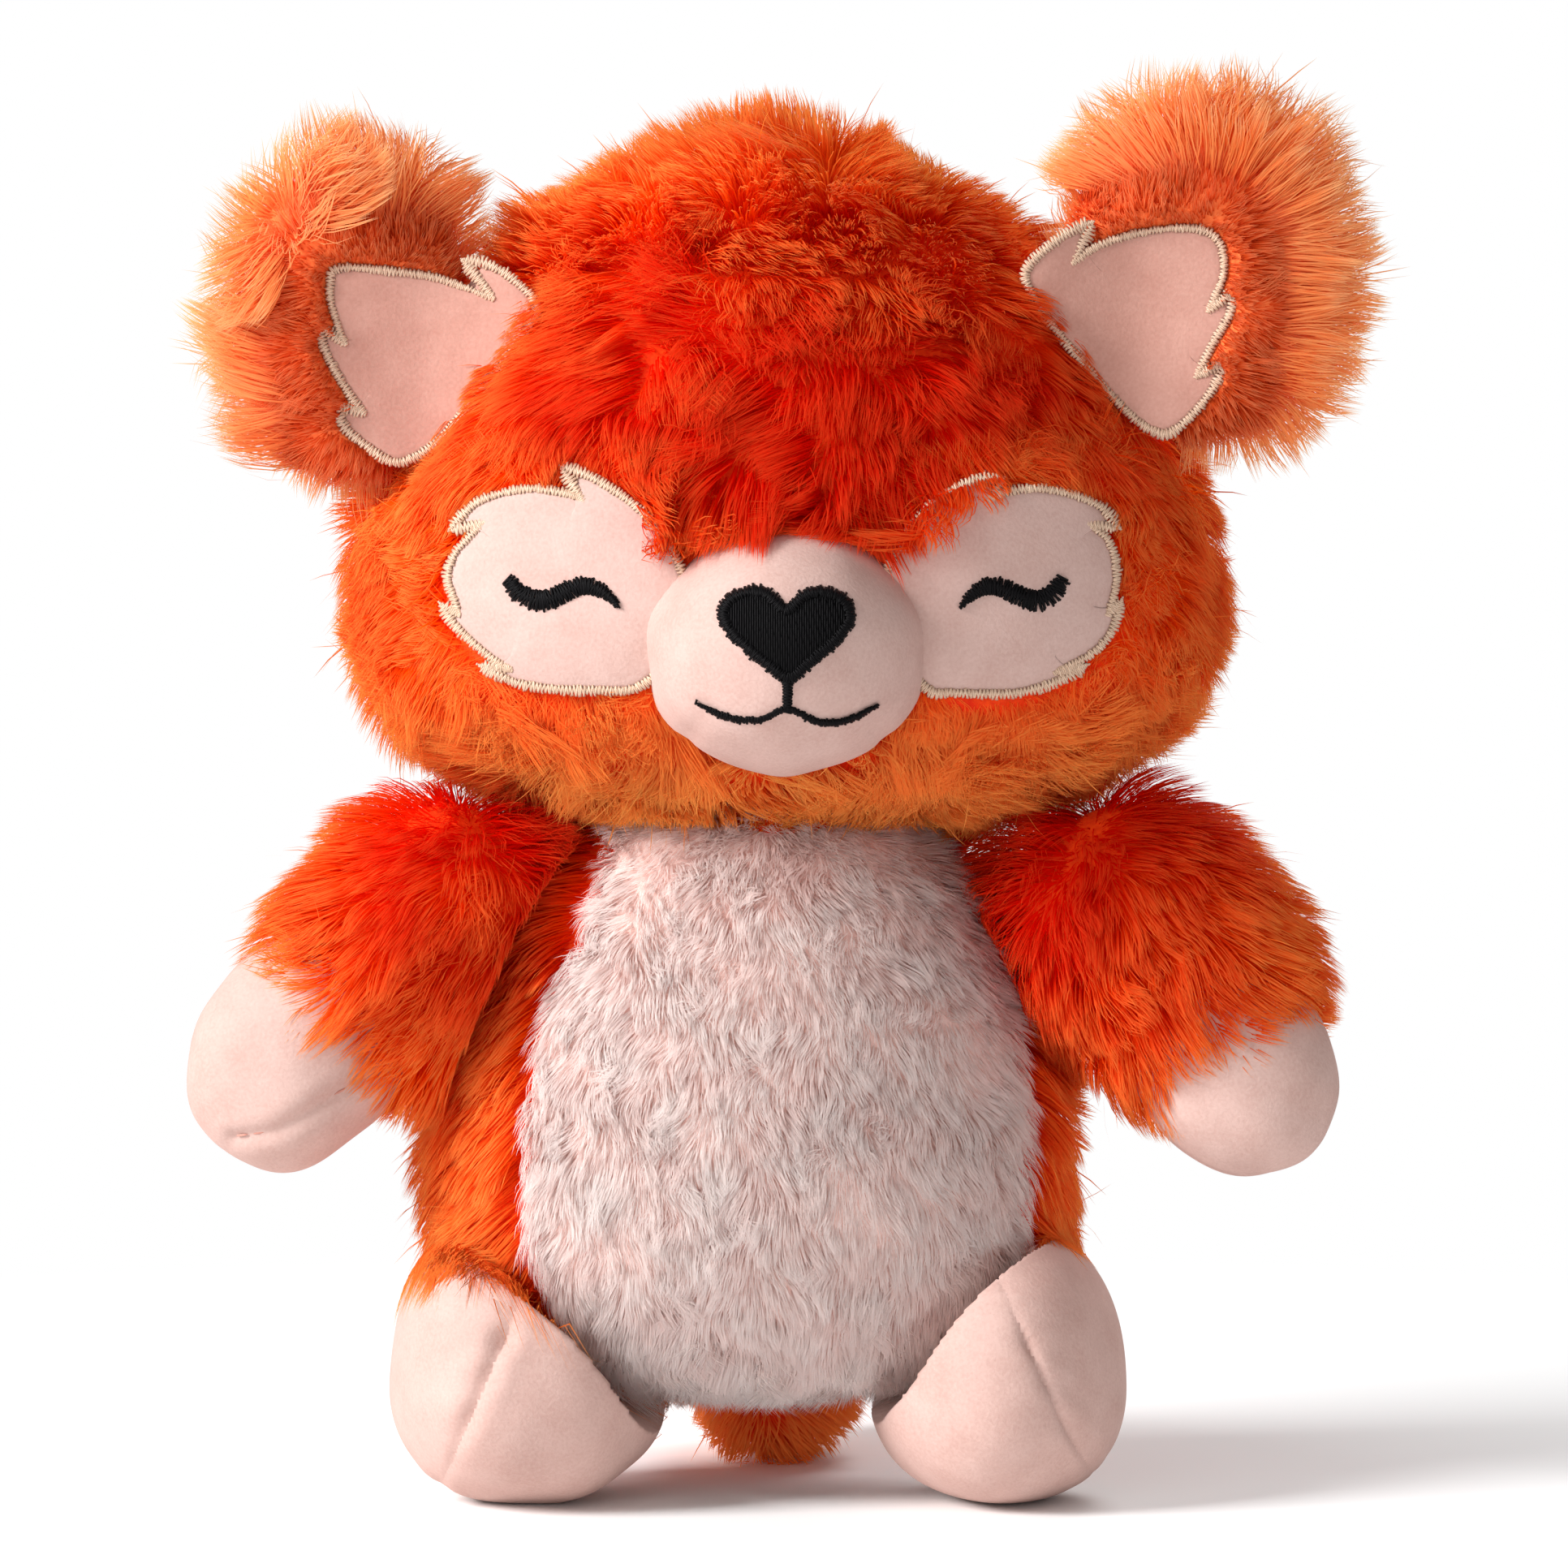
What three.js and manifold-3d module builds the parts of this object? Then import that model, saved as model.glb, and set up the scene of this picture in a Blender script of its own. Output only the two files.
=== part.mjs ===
// Plush red panda dog toy: sewn covers of long-pile plush and velour over polyester filling.
// Millimetres, +Z up, the face looks along -Y. Left and right are the viewer's.
// It stands on two feet and its tail. Every sewn seam that flexes is a hinge.

import * as THREE from 'three';
import { mergeVertices } from 'three/addons/utils/BufferGeometryUtils.js';
import Module from 'manifold-3d';

const wasm = await Module();
wasm.setup();

// Cloth and thread thicknesses
const plushThickness = 9;
const velourThickness = 1.4;
const stitchThickness = 1.1;
const stitchWidth = 2.4;

// Clearances
const seatGap = 0.3;
const swingGap = 0.8;
const ballGap = 0.5;
const floorFlat = 0.5;
const overrun = 40;

// Swing ranges of the sewn seams, in degrees
const neckTurn = { from: -25, to: 25 };
const neckNod = { from: -8, to: 10 };
const earFold = { from: -12, to: 25 };
const armHug = { from: -10, to: 35 };
const legSwing = { from: -15, to: 35 };
const tailWag = { from: -25, to: 25 };
const swingStep = 10;

// Head, an egg about its widest height. full sets how square the egg is above and below it.
const head = {
  x: 0, y: 0, z: 176,
  halfWidth: 86, halfDepth: 60, heightAbove: 90, heightBelow: 45,
  fullAbove: 2, fullBelow: 2.5,
};

// Neck filling, a ball that both the head and the body turn on
const neck = { x: -3, y: 2, z: 140, radius: 26 };

// Muzzle dome
const muzzle = {
  x: 0.3, y: -52, z: 170,
  halfWidth: 27, halfDepth: 30, heightAbove: 22, heightBelow: 25,
  fullAbove: 2.2, fullBelow: 2.1,
};

// Heart-shaped nose
const nose = { x: 0.5, z: 172.1, halfWidth: 12.7, halfHeight: 8.5 };
const heartShares = [
  [0, 0.58], [0.3, 0.93], [0.64, 0.98], [0.92, 0.76], [1, 0.38], [0.8, -0.08], [0.4, -0.6],
  [0.04, -1], [-0.36, -0.6], [-0.78, -0.08], [-1, 0.38], [-0.92, 0.78], [-0.62, 1], [-0.3, 0.94],
];

// Mouth: a wave of thread below the nose, and a short upright line that joins them
const mouth = { x: 0.6, z: 157, halfWidth: 17.2, sag: 2.6, threadWidth: 1.7 };
const smileShares = [
  [-1, 0.8], [-0.66, -0.2], [-0.3, -0.35], [0, 0.45], [0.36, -0.55], [0.67, -0.4], [1, 0.6],
];

// Eye patches: half sizes and centres
const patch = { halfWidth: 21.5, halfHeight: 18.5, front: 72, back: 14 };
const leftPatch = { x: -43.4, z: 180.5, side: -1 };
const rightPatch = { x: 43.6, z: 180.3, side: 1 };
const patchShares = [
  [0, 0.98], [-0.44, 0.88], [-0.84, 0.6], [-0.98, 0.16], [-0.94, -0.28],
  [-0.7, -0.72], [-0.2, -1], [0.3, -1.02], [0.74, -0.95], [1, -0.5],
  [1.08, 0.05], [0.96, 0.5], [0.62, 0.84], [0.3, 0.97],
];

// Closed eyes: a lying wave of thread, high at its inner crest and low at its outer trough
const eye = { halfWidth: 11.1, halfHeight: 3.5, threadWidth: 3.2, taperShare: 0.6 };
const leftEye = { x: -42.3, z: 179, side: -1 };
const rightEye = { x: 43.8, z: 179, side: 1 };
const eyeShares = [
  [-1, 1], [-0.75, -0.35], [-0.42, -0.9], [-0.1, 0.1], [0.28, 0.92], [0.65, 0.5], [1, -0.45],
];

// Ears: a long-pile back, a napped front with a pocket, and the velour panel in the pocket.
// Each is placed by its inset from the head's side, its offset before the head's middle and its
// height over the head's widest place.
const ear = {
  thickness: 24, frontThickness: 9, frontInset: 5.5, pocketDepth: 5.2, fullAbove: 2.2, fullBelow: 2.2,
};
const leftEar = {
  side: -1, inset: 2.5, before: 14, over: 55.5, halfWidth: 28.5, heightAbove: 38, heightBelow: 37,
  panel: { inset: 18.5, over: 48.5, halfWidth: 20.5, halfHeight: 19 },
  hinge: { inset: 24.7, before: 27, over: 52, lean: 26 },
};
const rightEar = {
  side: 1, inset: 5.5, before: 14, over: 64, halfWidth: 32.5, heightAbove: 38, heightBelow: 38,
  panel: { inset: 19, over: 54, halfWidth: 20.5, halfHeight: 21 },
  hinge: { inset: 27.9, before: 26, over: 57, lean: 30 },
};
const earPanelShares = [
  [-0.97, 0.66], [-0.8, 0.86], [-0.3, 0.83], [0.3, 0.84], [0.95, 0.42], [0.75, 0.1],
  [0.2, -0.5], [-0.3, -1], [-0.5, -1.02], [-0.74, -0.6], [-0.92, -0.1], [-0.99, 0.3],
];

// Body, a pear that is widest at the belly
const body = {
  x: -7, y: 0, z: 62,
  halfWidth: 66, halfDepth: 50, heightAbove: 88, heightBelow: 43,
  fullAbove: 2, fullBelow: 2.5,
};

// Belly panel: its outline seen from the front
const belly = { x: -1.5, z: 76, halfWidth: 48.5, halfHeight: 60, front: 80, back: 6 };
const bellyShares = [
  [-0.6, 1], [-0.72, 0.72], [-0.88, 0.44], [-1, 0], [-0.97, -0.42], [-0.82, -0.68], [-0.46, -0.88],
  [0, -0.97], [0.44, -0.88], [0.8, -0.68], [0.96, -0.42], [1, 0], [0.93, 0.38], [0.84, 0.72], [0.72, 1],
];

// Squeaker in the belly: a flat air bulb with a neck, and the reed insert in the neck
const squeaker = {
  y: -16, z: 72, radius: 21, halfThickness: 11, wall: 1.2, fullness: 2.6,
  neckRadius: 6, neckBore: 4.4, neckLength: 7,
};
const reed = { bore: 1.2, flangeRadius: 5.6, flange: 1.2, length: 7.5 };

// Arms: a plush sleeve and a velour paw, both eggs whose low end points to the hand
const leftArm = {
  side: -1,
  sleeve: {
    x: -70, y: -15, z: 110, halfWidth: 27, halfDepth: 21, heightAbove: 33, heightBelow: 33,
    fullAbove: 2.4, fullBelow: 2.5, lean: 42, forward: 8,
  },
  paw: {
    x: -93.5, y: -19, z: 90, halfWidth: 20, halfDepth: 16.5, heightAbove: 25, heightBelow: 25.5,
    fullAbove: 2.1, fullBelow: 2.2, lean: 38, forward: 8,
  },
  hinge: { x: -52, y: -12, z: 116, lean: 25 },
};
const rightArm = {
  side: 1,
  sleeve: {
    x: 72.5, y: -15, z: 109, halfWidth: 27, halfDepth: 21, heightAbove: 34, heightBelow: 34,
    fullAbove: 2.4, fullBelow: 2.5, lean: 40, forward: 8,
  },
  paw: {
    x: 87, y: -19, z: 87.5, halfWidth: 19, halfDepth: 16.5, heightAbove: 24, heightBelow: 24,
    fullAbove: 2.1, fullBelow: 2.2, lean: 32, forward: 8,
  },
  hinge: { x: 42, y: -12, z: 116, lean: 17 },
};

// Feet: velour eggs, each sewn from two panels with a leaning seam over the toe
const leftLeg = {
  side: -1, x: -49.5, y: -13, z: 25, halfWidth: 27.5, halfDepth: 33, heightAbove: 32,
  fullAbove: 2.3, fullBelow: 2.2, seamOffset: 9, seamLean: 20,
  hinge: { x: -45, y: 4, z: 40 },
};
const rightLeg = {
  side: 1, x: 41.5, y: -13, z: 23.5, halfWidth: 25, halfDepth: 33, heightAbove: 31,
  fullAbove: 2.3, fullBelow: 2.2, seamOffset: 8, seamLean: -20,
  hinge: { x: 38, y: 4, z: 40 },
};

// Tail: a thick short egg that rests on the floor behind the feet
const tail = {
  x: -2, y: 54, halfWidth: 19, halfHeight: 19.5, heightAbove: 31, heightBelow: 31,
  fullAbove: 2.2, fullBelow: 2.2, lift: 14,
  hinge: { x: -2, y: 34, z: 30 },
};

// Mesh fineness: sides round each egg and rings from end to end
const large = { sides: 26, rings: 13 };
const inner = { sides: 16, rings: 8 };
const medium = { sides: 16, rings: 8 };
const small = { sides: 12, rings: 6 };
const curvePoints = 2;

// Colours
const paint = {
  orange: { color: 0xe2571c, roughness: 0.95 },
  napOrange: { color: 0xd9622c, roughness: 0.9 },
  velour: { color: 0xf0cfc4, roughness: 0.92 },
  bellyPlush: { color: 0xe6d3cf, roughness: 0.97 },
  beigeThread: { color: 0xcfb49c, roughness: 0.6 },
  blackThread: { color: 0x17171b, roughness: 0.55 },
  filling: { color: 0xf2f0ec, roughness: 1 },
  squeakerPlastic: { color: 0xe9e7df, roughness: 0.4 },
};

function materialOf(name) {
  return new THREE.MeshStandardMaterial({ ...paint[name], metalness: 0 });
}

// Boolean solids

function solidOf(geometry) {
  const bare = geometry.clone();
  bare.deleteAttribute('normal');
  bare.deleteAttribute('uv');
  const merged = mergeVertices(bare);
  const corners = merged.index.array;
  const triangles = [];
  for (let i = 0; i < corners.length; i += 3) {
    const [a, b, c] = corners.slice(i, i + 3);
    const flat = a === b || b === c || c === a;
    if (!flat) {
      triangles.push(a, b, c);
    }
  }
  return new wasm.Manifold(new wasm.Mesh({
    numProp: 3,
    vertProperties: merged.attributes.position.array,
    triVerts: new Uint32Array(triangles),
  }));
}

function union(solids) {
  return solids.reduce((all, next) => all.add(next));
}

function meshFrom(name, solid, paintName) {
  const mesh = solid.getMesh();
  const geometry = new THREE.BufferGeometry();
  geometry.setAttribute('position', new THREE.BufferAttribute(new Float32Array(mesh.vertProperties), 3));
  geometry.setIndex(new THREE.BufferAttribute(new Uint32Array(mesh.triVerts), 1));
  geometry.computeVertexNormals();
  const made = new THREE.Mesh(geometry, materialOf(paintName));
  made.name = name;
  return made;
}

function radians(degrees) {
  return THREE.MathUtils.degToRad(degrees);
}

// An egg: an ellipse in plan, rounded by its fullness above and below its widest height

function eggGeometry(form, grow, fineness) {
  const profile = [];
  for (let i = 0; i <= fineness.rings; i += 1) {
    const angle = (i / fineness.rings - 0.5) * Math.PI;
    const above = angle >= 0;
    const power = 2 / (above ? form.fullAbove : form.fullBelow);
    const reach = (above ? form.heightAbove : -form.heightBelow) + (above ? grow : -grow);
    const atPole = i === 0 || i === fineness.rings;
    const radius = atPole ? 0 : Math.cos(angle) ** power;
    profile.push(new THREE.Vector2(radius, Math.abs(Math.sin(angle)) ** power * reach));
  }
  const geometry = new THREE.LatheGeometry(profile, fineness.sides);
  geometry.rotateX(Math.PI / 2);
  geometry.scale(form.halfWidth + grow, form.halfDepth + grow, 1);
  return geometry;
}

function egg(form, grow, fineness) {
  const geometry = eggGeometry(form, grow, fineness);
  const side = form.side ?? 0;
  geometry.rotateX(radians(-(form.forward ?? 0)));
  geometry.rotateY(radians(-side * (form.lean ?? 0)));
  geometry.translate(form.x, form.y, form.z);
  return solidOf(geometry);
}

// Outlines seen from the front, and the prisms that cut pieces out of a skin

function splinePoints(points, closed) {
  const curve = new THREE.CatmullRomCurve3(points, closed, 'centripetal');
  return curve.getPoints(points.length * curvePoints).map((p) => new THREE.Vector2(p.x, p.y));
}

function outline(shares, place, halfWidth, halfHeight, grow) {
  const side = place.side ?? -1;
  const points = shares.map(([across, up]) => new THREE.Vector3(
    place.x - side * across * (halfWidth + grow),
    place.z + up * (halfHeight + grow),
    0,
  ));
  const smooth = splinePoints(points, true);
  smooth.pop();
  return new THREE.Shape(smooth);
}

function prism(shape, front, back) {
  const geometry = new THREE.ExtrudeGeometry(shape, { depth: front - back, bevelEnabled: false });
  geometry.rotateX(Math.PI / 2);
  geometry.translate(0, -back, 0);
  return solidOf(geometry);
}

function band(shares, place, halfWidth, halfHeight, width, taperShare) {
  const side = place.side ?? -1;
  const points = shares.map(([across, up]) => new THREE.Vector3(
    place.x - side * across * halfWidth,
    place.z + up * halfHeight,
    0,
  ));
  const line = splinePoints(points, false);
  const left = [];
  const right = [];
  line.forEach((point, i) => {
    const before = line[Math.max(i - 1, 0)];
    const after = line[Math.min(i + 1, line.length - 1)];
    const along = after.clone().sub(before).normalize();
    const share = i / (line.length - 1);
    const half = (width / 2) * (1 - taperShare * share);
    left.push(new THREE.Vector2(point.x - along.y * half, point.y + along.x * half));
    right.push(new THREE.Vector2(point.x + along.y * half, point.y - along.x * half));
  });
  return new THREE.Shape([...left, ...right.reverse()]);
}

function block(lowX, lowY, lowZ, highX, highY, highZ) {
  const geometry = new THREE.BoxGeometry(highX - lowX, highY - lowY, highZ - lowZ);
  geometry.translate((lowX + highX) / 2, (lowY + highY) / 2, (lowZ + highZ) / 2);
  return solidOf(geometry);
}

// Hinges

function turned(solid, point, axis, degrees) {
  const there = new THREE.Matrix4().makeTranslation(point.x, point.y, point.z);
  const back = new THREE.Matrix4().makeTranslation(-point.x, -point.y, -point.z);
  const turn = new THREE.Matrix4().makeRotationAxis(axis, radians(degrees));
  return solid.transform([...there.multiply(turn).multiply(back).elements]);
}

function steps(range) {
  const count = Math.ceil((range.to - range.from) / swingStep);
  return Array.from({ length: count + 1 }, (_, i) => range.from + ((range.to - range.from) * i) / count);
}

// Everything that the obstacle fills, seen from the limb, while the limb turns through its range
function swept(obstacle, hinge, axis, range) {
  return union(steps(range).map((angle) => turned(obstacle, hinge, axis, -angle)));
}

// Body and squeaker

const bodySolid = egg(body, 0, large);
const bodyInside = egg(body, -plushThickness, inner);
const bodySeat = egg(body, seatGap, large);
const bodySwing = egg(body, swingGap, large);

function neckBall(grow) {
  const ball = {
    ...neck, halfWidth: neck.radius, halfDepth: neck.radius,
    heightAbove: neck.radius, heightBelow: neck.radius,
    fullAbove: 2, fullBelow: 2,
  };
  return egg(ball, grow, large);
}

function bellyPrism(grow) {
  const shape = outline(bellyShares, belly, belly.halfWidth, belly.halfHeight, grow);
  return prism(shape, belly.front, belly.back - grow);
}

function bodyShell() {
  return bodySolid.subtract(bodyInside).subtract(bellyPrism(seatGap)).subtract(neckBall(ballGap));
}

function bellyPanel() {
  return bodySolid.subtract(bodyInside).intersect(bellyPrism(0)).subtract(neckBall(ballGap));
}

function squeakerForm(grow) {
  const bulb = {
    halfWidth: squeaker.radius, halfDepth: squeaker.radius,
    heightAbove: squeaker.halfThickness, heightBelow: squeaker.halfThickness,
    fullAbove: squeaker.fullness, fullBelow: squeaker.fullness,
  };
  return solidOf(eggGeometry(bulb, grow, small));
}

function tube(outer, bore, low, high) {
  const profile = [[bore, low], [outer, low], [outer, high], [bore, high], [bore, low]];
  const geometry = new THREE.LatheGeometry(profile.map(([r, h]) => new THREE.Vector2(r, h)), small.sides);
  geometry.rotateX(Math.PI / 2);
  return solidOf(geometry);
}

function rod(radius, low, high) {
  const profile = [[0, low], [radius, low], [radius, high], [0, high]];
  const geometry = new THREE.LatheGeometry(profile.map(([r, h]) => new THREE.Vector2(r, h)), small.sides);
  geometry.rotateX(Math.PI / 2);
  return solidOf(geometry);
}

// The squeaker lies with its neck towards the back
function inBelly(solid) {
  const place = new THREE.Matrix4().makeTranslation(body.x, squeaker.y, squeaker.z);
  return solid.transform([...place.multiply(new THREE.Matrix4().makeRotationX(-Math.PI / 2)).elements]);
}

const neckTop = squeaker.halfThickness + squeaker.neckLength;

function squeakerBulb() {
  const outside = squeakerForm(0).add(rod(squeaker.neckRadius, 0, neckTop));
  const inside = squeakerForm(-squeaker.wall).add(rod(squeaker.neckBore, 0, neckTop + overrun));
  return inBelly(outside.subtract(inside));
}

function squeakerReed() {
  const low = neckTop + seatGap;
  const stem = tube(squeaker.neckBore - seatGap, reed.bore, low - reed.length, low + reed.flange);
  const flange = tube(reed.flangeRadius, reed.bore, low, low + reed.flange);
  return inBelly(stem.add(flange));
}

function squeakerPocket() {
  const chamber = squeakerForm(seatGap).add(rod(squeaker.radius + seatGap, -overrun, 0));
  const well = rod(squeaker.neckRadius + seatGap, 0, neckTop + reed.flange + seatGap + seatGap);
  return inBelly(chamber.add(well));
}

function bodyFilling() {
  return egg(body, -plushThickness - seatGap, inner).subtract(neckBall(ballGap)).subtract(squeakerPocket());
}

// Head, muzzle and face

const upright = new THREE.Vector3(0, 0, 1);
const toTheRight = new THREE.Vector3(1, 0, 0);
const toTheLeft = new THREE.Vector3(-1, 0, 0);

function headRoom() {
  const turning = union(steps(neckTurn).map((angle) => turned(bodySwing, neck, upright, -angle)));
  const nodding = union(steps(neckNod).map((angle) => turned(turning, neck, toTheRight, -angle)));
  return nodding.add(neckBall(ballGap));
}

const headCut = headRoom();

function headShell() {
  return egg(head, 0, large).subtract(egg(head, -plushThickness, inner)).subtract(headCut);
}

function headFilling() {
  return egg(head, -plushThickness - seatGap, inner).subtract(headCut);
}

// A skin that lies on a form, from one height above it to another
function skin(form, low, high, fineness) {
  return egg(form, high, fineness).subtract(egg(form, low, fineness));
}

const headSeat = egg(head, seatGap, large);
const muzzleSeat = egg(muzzle, seatGap, medium);

function muzzleCover() {
  return skin(muzzle, -velourThickness, 0, medium).subtract(headSeat);
}

function muzzleFilling() {
  return egg(muzzle, -velourThickness - seatGap, medium).subtract(headSeat);
}

const muzzleFront = muzzle.halfDepth - muzzle.y + overrun;

function onMuzzle(shape) {
  const thread = skin(muzzle, seatGap, seatGap + stitchThickness, medium);
  return prism(shape, muzzleFront, -muzzle.y).intersect(thread);
}

function mouthThread() {
  const smile = band(smileShares, mouth, mouth.halfWidth, mouth.sag, mouth.threadWidth, 0);
  const top = nose.z - nose.halfHeight - seatGap;
  const half = mouth.threadWidth / 2;
  const line = new THREE.Shape([
    new THREE.Vector2(mouth.x - half, mouth.z),
    new THREE.Vector2(mouth.x + half, mouth.z),
    new THREE.Vector2(mouth.x + half, top),
    new THREE.Vector2(mouth.x - half, top),
  ]);
  return onMuzzle(smile).add(onMuzzle(line));
}

function onFace(shape, low, thickness) {
  const cloth = skin(head, low, low + thickness, large);
  return prism(shape, patch.front, patch.back).intersect(cloth).subtract(muzzleSeat);
}

function patchOutline(place, grow) {
  return outline(patchShares, place, patch.halfWidth, patch.halfHeight, grow);
}

function eyePatch(place) {
  return onFace(patchOutline(place, 0), seatGap, velourThickness);
}

function patchEdge(place) {
  const ring = onFace(patchOutline(place, seatGap + stitchWidth), seatGap, stitchThickness);
  return ring.subtract(prism(patchOutline(place, seatGap), patch.front, patch.back));
}

function closedEye(place) {
  const wave = band(eyeShares, place, eye.halfWidth, eye.halfHeight, eye.threadWidth, eye.taperShare);
  return onFace(wave, seatGap + velourThickness + seatGap, stitchThickness);
}

// Ears

// The line of a side seam, which leans inwards at its top. A positive turn brings the piece forward.
function seamAxis(hinge, side) {
  const lean = radians(hinge.lean);
  return new THREE.Vector3(-side * Math.sin(lean), 0, Math.cos(lean)).multiplyScalar(-side);
}

const headSwing = egg(head, swingGap, large);

function besideHead(side, place) {
  const x = head.x + side * (head.halfWidth - place.inset);
  return { ...place, side, x, y: head.y - (place.before ?? 0), z: head.z + place.over };
}

function earPieces(form, label) {
  const place = besideHead(form.side, form);
  const hinge = besideHead(form.side, form.hinge);
  const panel = besideHead(form.side, form.panel);
  const axis = seamAxis(hinge, place.side);
  const room = swept(headSwing, hinge, axis, earFold).add(headSeat);
  const split = place.y - ear.frontThickness / 2;
  const back = { ...place, ...ear, side: 0, halfDepth: ear.thickness / 2 };
  const front = {
    ...back,
    y: split,
    halfWidth: place.halfWidth - ear.frontInset,
    heightAbove: place.heightAbove - ear.frontInset,
    heightBelow: place.heightBelow - ear.frontInset,
    halfDepth: ear.frontThickness,
  };
  const behind = block(-head.halfWidth - overrun, split, 0, head.halfWidth + overrun, head.halfDepth,
    head.z + head.heightAbove + overrun);
  const ahead = block(-head.halfWidth - overrun, -head.halfDepth, 0, head.halfWidth + overrun,
    split - seatGap, head.z + head.heightAbove + overrun);
  const floor = split - ear.frontThickness + ear.pocketDepth;
  const shape = (grow) => outline(earPanelShares, panel, panel.halfWidth, panel.halfHeight, grow);
  const pocket = prism(shape(stitchWidth + seatGap + seatGap), head.halfDepth, -floor);
  const seat = seatGap - floor;
  const velour = prism(shape(0), seat + velourThickness, seat);
  const ring = prism(shape(stitchWidth + seatGap), seat + stitchThickness, seat);
  const hole = prism(shape(seatGap), seat + overrun, seat - overrun);
  return [
    meshFrom(`${label}_ear_back`, egg(back, 0, medium).intersect(behind).subtract(room), 'orange'),
    meshFrom(`${label}_ear_front`, egg(front, 0, medium).intersect(ahead).subtract(pocket).subtract(room),
      'napOrange'),
    meshFrom(`${label}_ear_panel`, velour.subtract(room), 'velour'),
    meshFrom(`${label}_ear_edge`, ring.subtract(hole).subtract(room), 'beigeThread'),
  ];
}

// Arms, which pass under the head at every nod and turn

const headNods = union(steps(neckNod).map((angle) => turned(headSwing, neck, toTheRight, angle)));
const headOverArm = union(steps(neckTurn).map((angle) => turned(headNods, neck, upright, angle)));

function armPieces(place, label) {
  const axis = seamAxis(place.hinge, place.side);
  const room = swept(bodySwing.add(headOverArm), place.hinge, axis, armHug).add(bodySeat);
  const sleeve = { ...place.sleeve, side: place.side };
  const paw = { ...place.paw, side: place.side };
  const sleeveInside = egg(sleeve, -plushThickness, small);
  const cover = egg(sleeve, 0, medium).subtract(sleeveInside).subtract(egg(paw, seatGap, medium));
  const hand = skin(paw, -velourThickness, 0, medium).subtract(sleeveInside);
  const filling = egg(sleeve, -plushThickness - seatGap, small)
    .add(egg(paw, -velourThickness - seatGap, medium));
  return [
    meshFrom(`${label}_sleeve`, cover.subtract(room), 'orange'),
    meshFrom(`${label}_paw`, hand.subtract(room), 'velour'),
    meshFrom(`${label}_arm_filling`, filling.subtract(room), 'filling'),
  ];
}

// Legs

function legPieces(place, label) {
  const room = swept(bodySwing, place.hinge, toTheLeft, legSwing).add(bodySeat);
  const foot = { ...place, side: 0, heightBelow: place.z + floorFlat };
  const reach = place.halfWidth + overrun;
  const aboveFloor = block(place.x - reach, place.y - reach, 0, place.x + reach, place.y + reach, head.z);
  const shell = skin(foot, -velourThickness, 0, medium).intersect(aboveFloor).subtract(room);
  const seam = (offset) => {
    const geometry = new THREE.BoxGeometry(reach, reach * 2, reach * 2);
    geometry.translate(reach / 2 + offset, 0, 0);
    geometry.rotateY(radians(place.seamLean));
    geometry.translate(place.x + place.side * place.seamOffset, place.y, place.z);
    return solidOf(geometry);
  };
  const towardsX = shell.intersect(seam(seatGap));
  const awayFromX = shell.subtract(seam(0));
  const outer = place.side > 0 ? towardsX : awayFromX;
  const inward = place.side > 0 ? awayFromX : towardsX;
  const filling = egg(foot, -velourThickness - seatGap, medium).subtract(room);
  return [
    meshFrom(`${label}_foot_toe_panel`, inward, 'velour'),
    meshFrom(`${label}_foot_side_panel`, outer, 'velour'),
    meshFrom(`${label}_foot_filling`, filling, 'filling'),
  ];
}

// Tail

function tailPieces() {
  const lift = radians(tail.lift);
  const halfHeight = Math.hypot(tail.heightBelow * Math.sin(lift), tail.halfHeight * Math.cos(lift));
  const low = halfHeight - floorFlat;
  const form = (grow, fineness) => {
    const geometry = eggGeometry({ ...tail, halfDepth: tail.halfHeight }, grow, fineness);
    geometry.rotateX(Math.PI / 2 - lift);
    geometry.translate(tail.x, tail.y, low);
    return solidOf(geometry);
  };
  const reach = tail.heightAbove + overrun;
  const aboveFloor = block(tail.x - reach, 0, 0, tail.x + reach, tail.y + reach, body.z);
  const room = swept(bodySwing, tail.hinge, upright, tailWag).add(bodySeat);
  const cover = form(0, medium).intersect(aboveFloor).subtract(form(-plushThickness, small)).subtract(room);
  const filling = form(-plushThickness - seatGap, small).subtract(room);
  return [
    meshFrom('tail_cover', cover, 'orange'),
    meshFrom('tail_filling', filling, 'filling'),
  ];
}

// The whole toy, with its origin on the floor below the middle of its bounding box

function facePieces() {
  const heart = outline(heartShares, nose, nose.halfWidth, nose.halfHeight, 0);
  return [
    meshFrom('muzzle_cover', muzzleCover(), 'velour'),
    meshFrom('muzzle_filling', muzzleFilling(), 'filling'),
    meshFrom('nose', onMuzzle(heart), 'blackThread'),
    meshFrom('mouth', mouthThread(), 'blackThread'),
    meshFrom('left_eye_patch', eyePatch(leftPatch), 'velour'),
    meshFrom('right_eye_patch', eyePatch(rightPatch), 'velour'),
    meshFrom('left_patch_edge', patchEdge(leftPatch), 'beigeThread'),
    meshFrom('right_patch_edge', patchEdge(rightPatch), 'beigeThread'),
    meshFrom('left_eye', closedEye(leftEye), 'blackThread'),
    meshFrom('right_eye', closedEye(rightEye), 'blackThread'),
  ];
}

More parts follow.
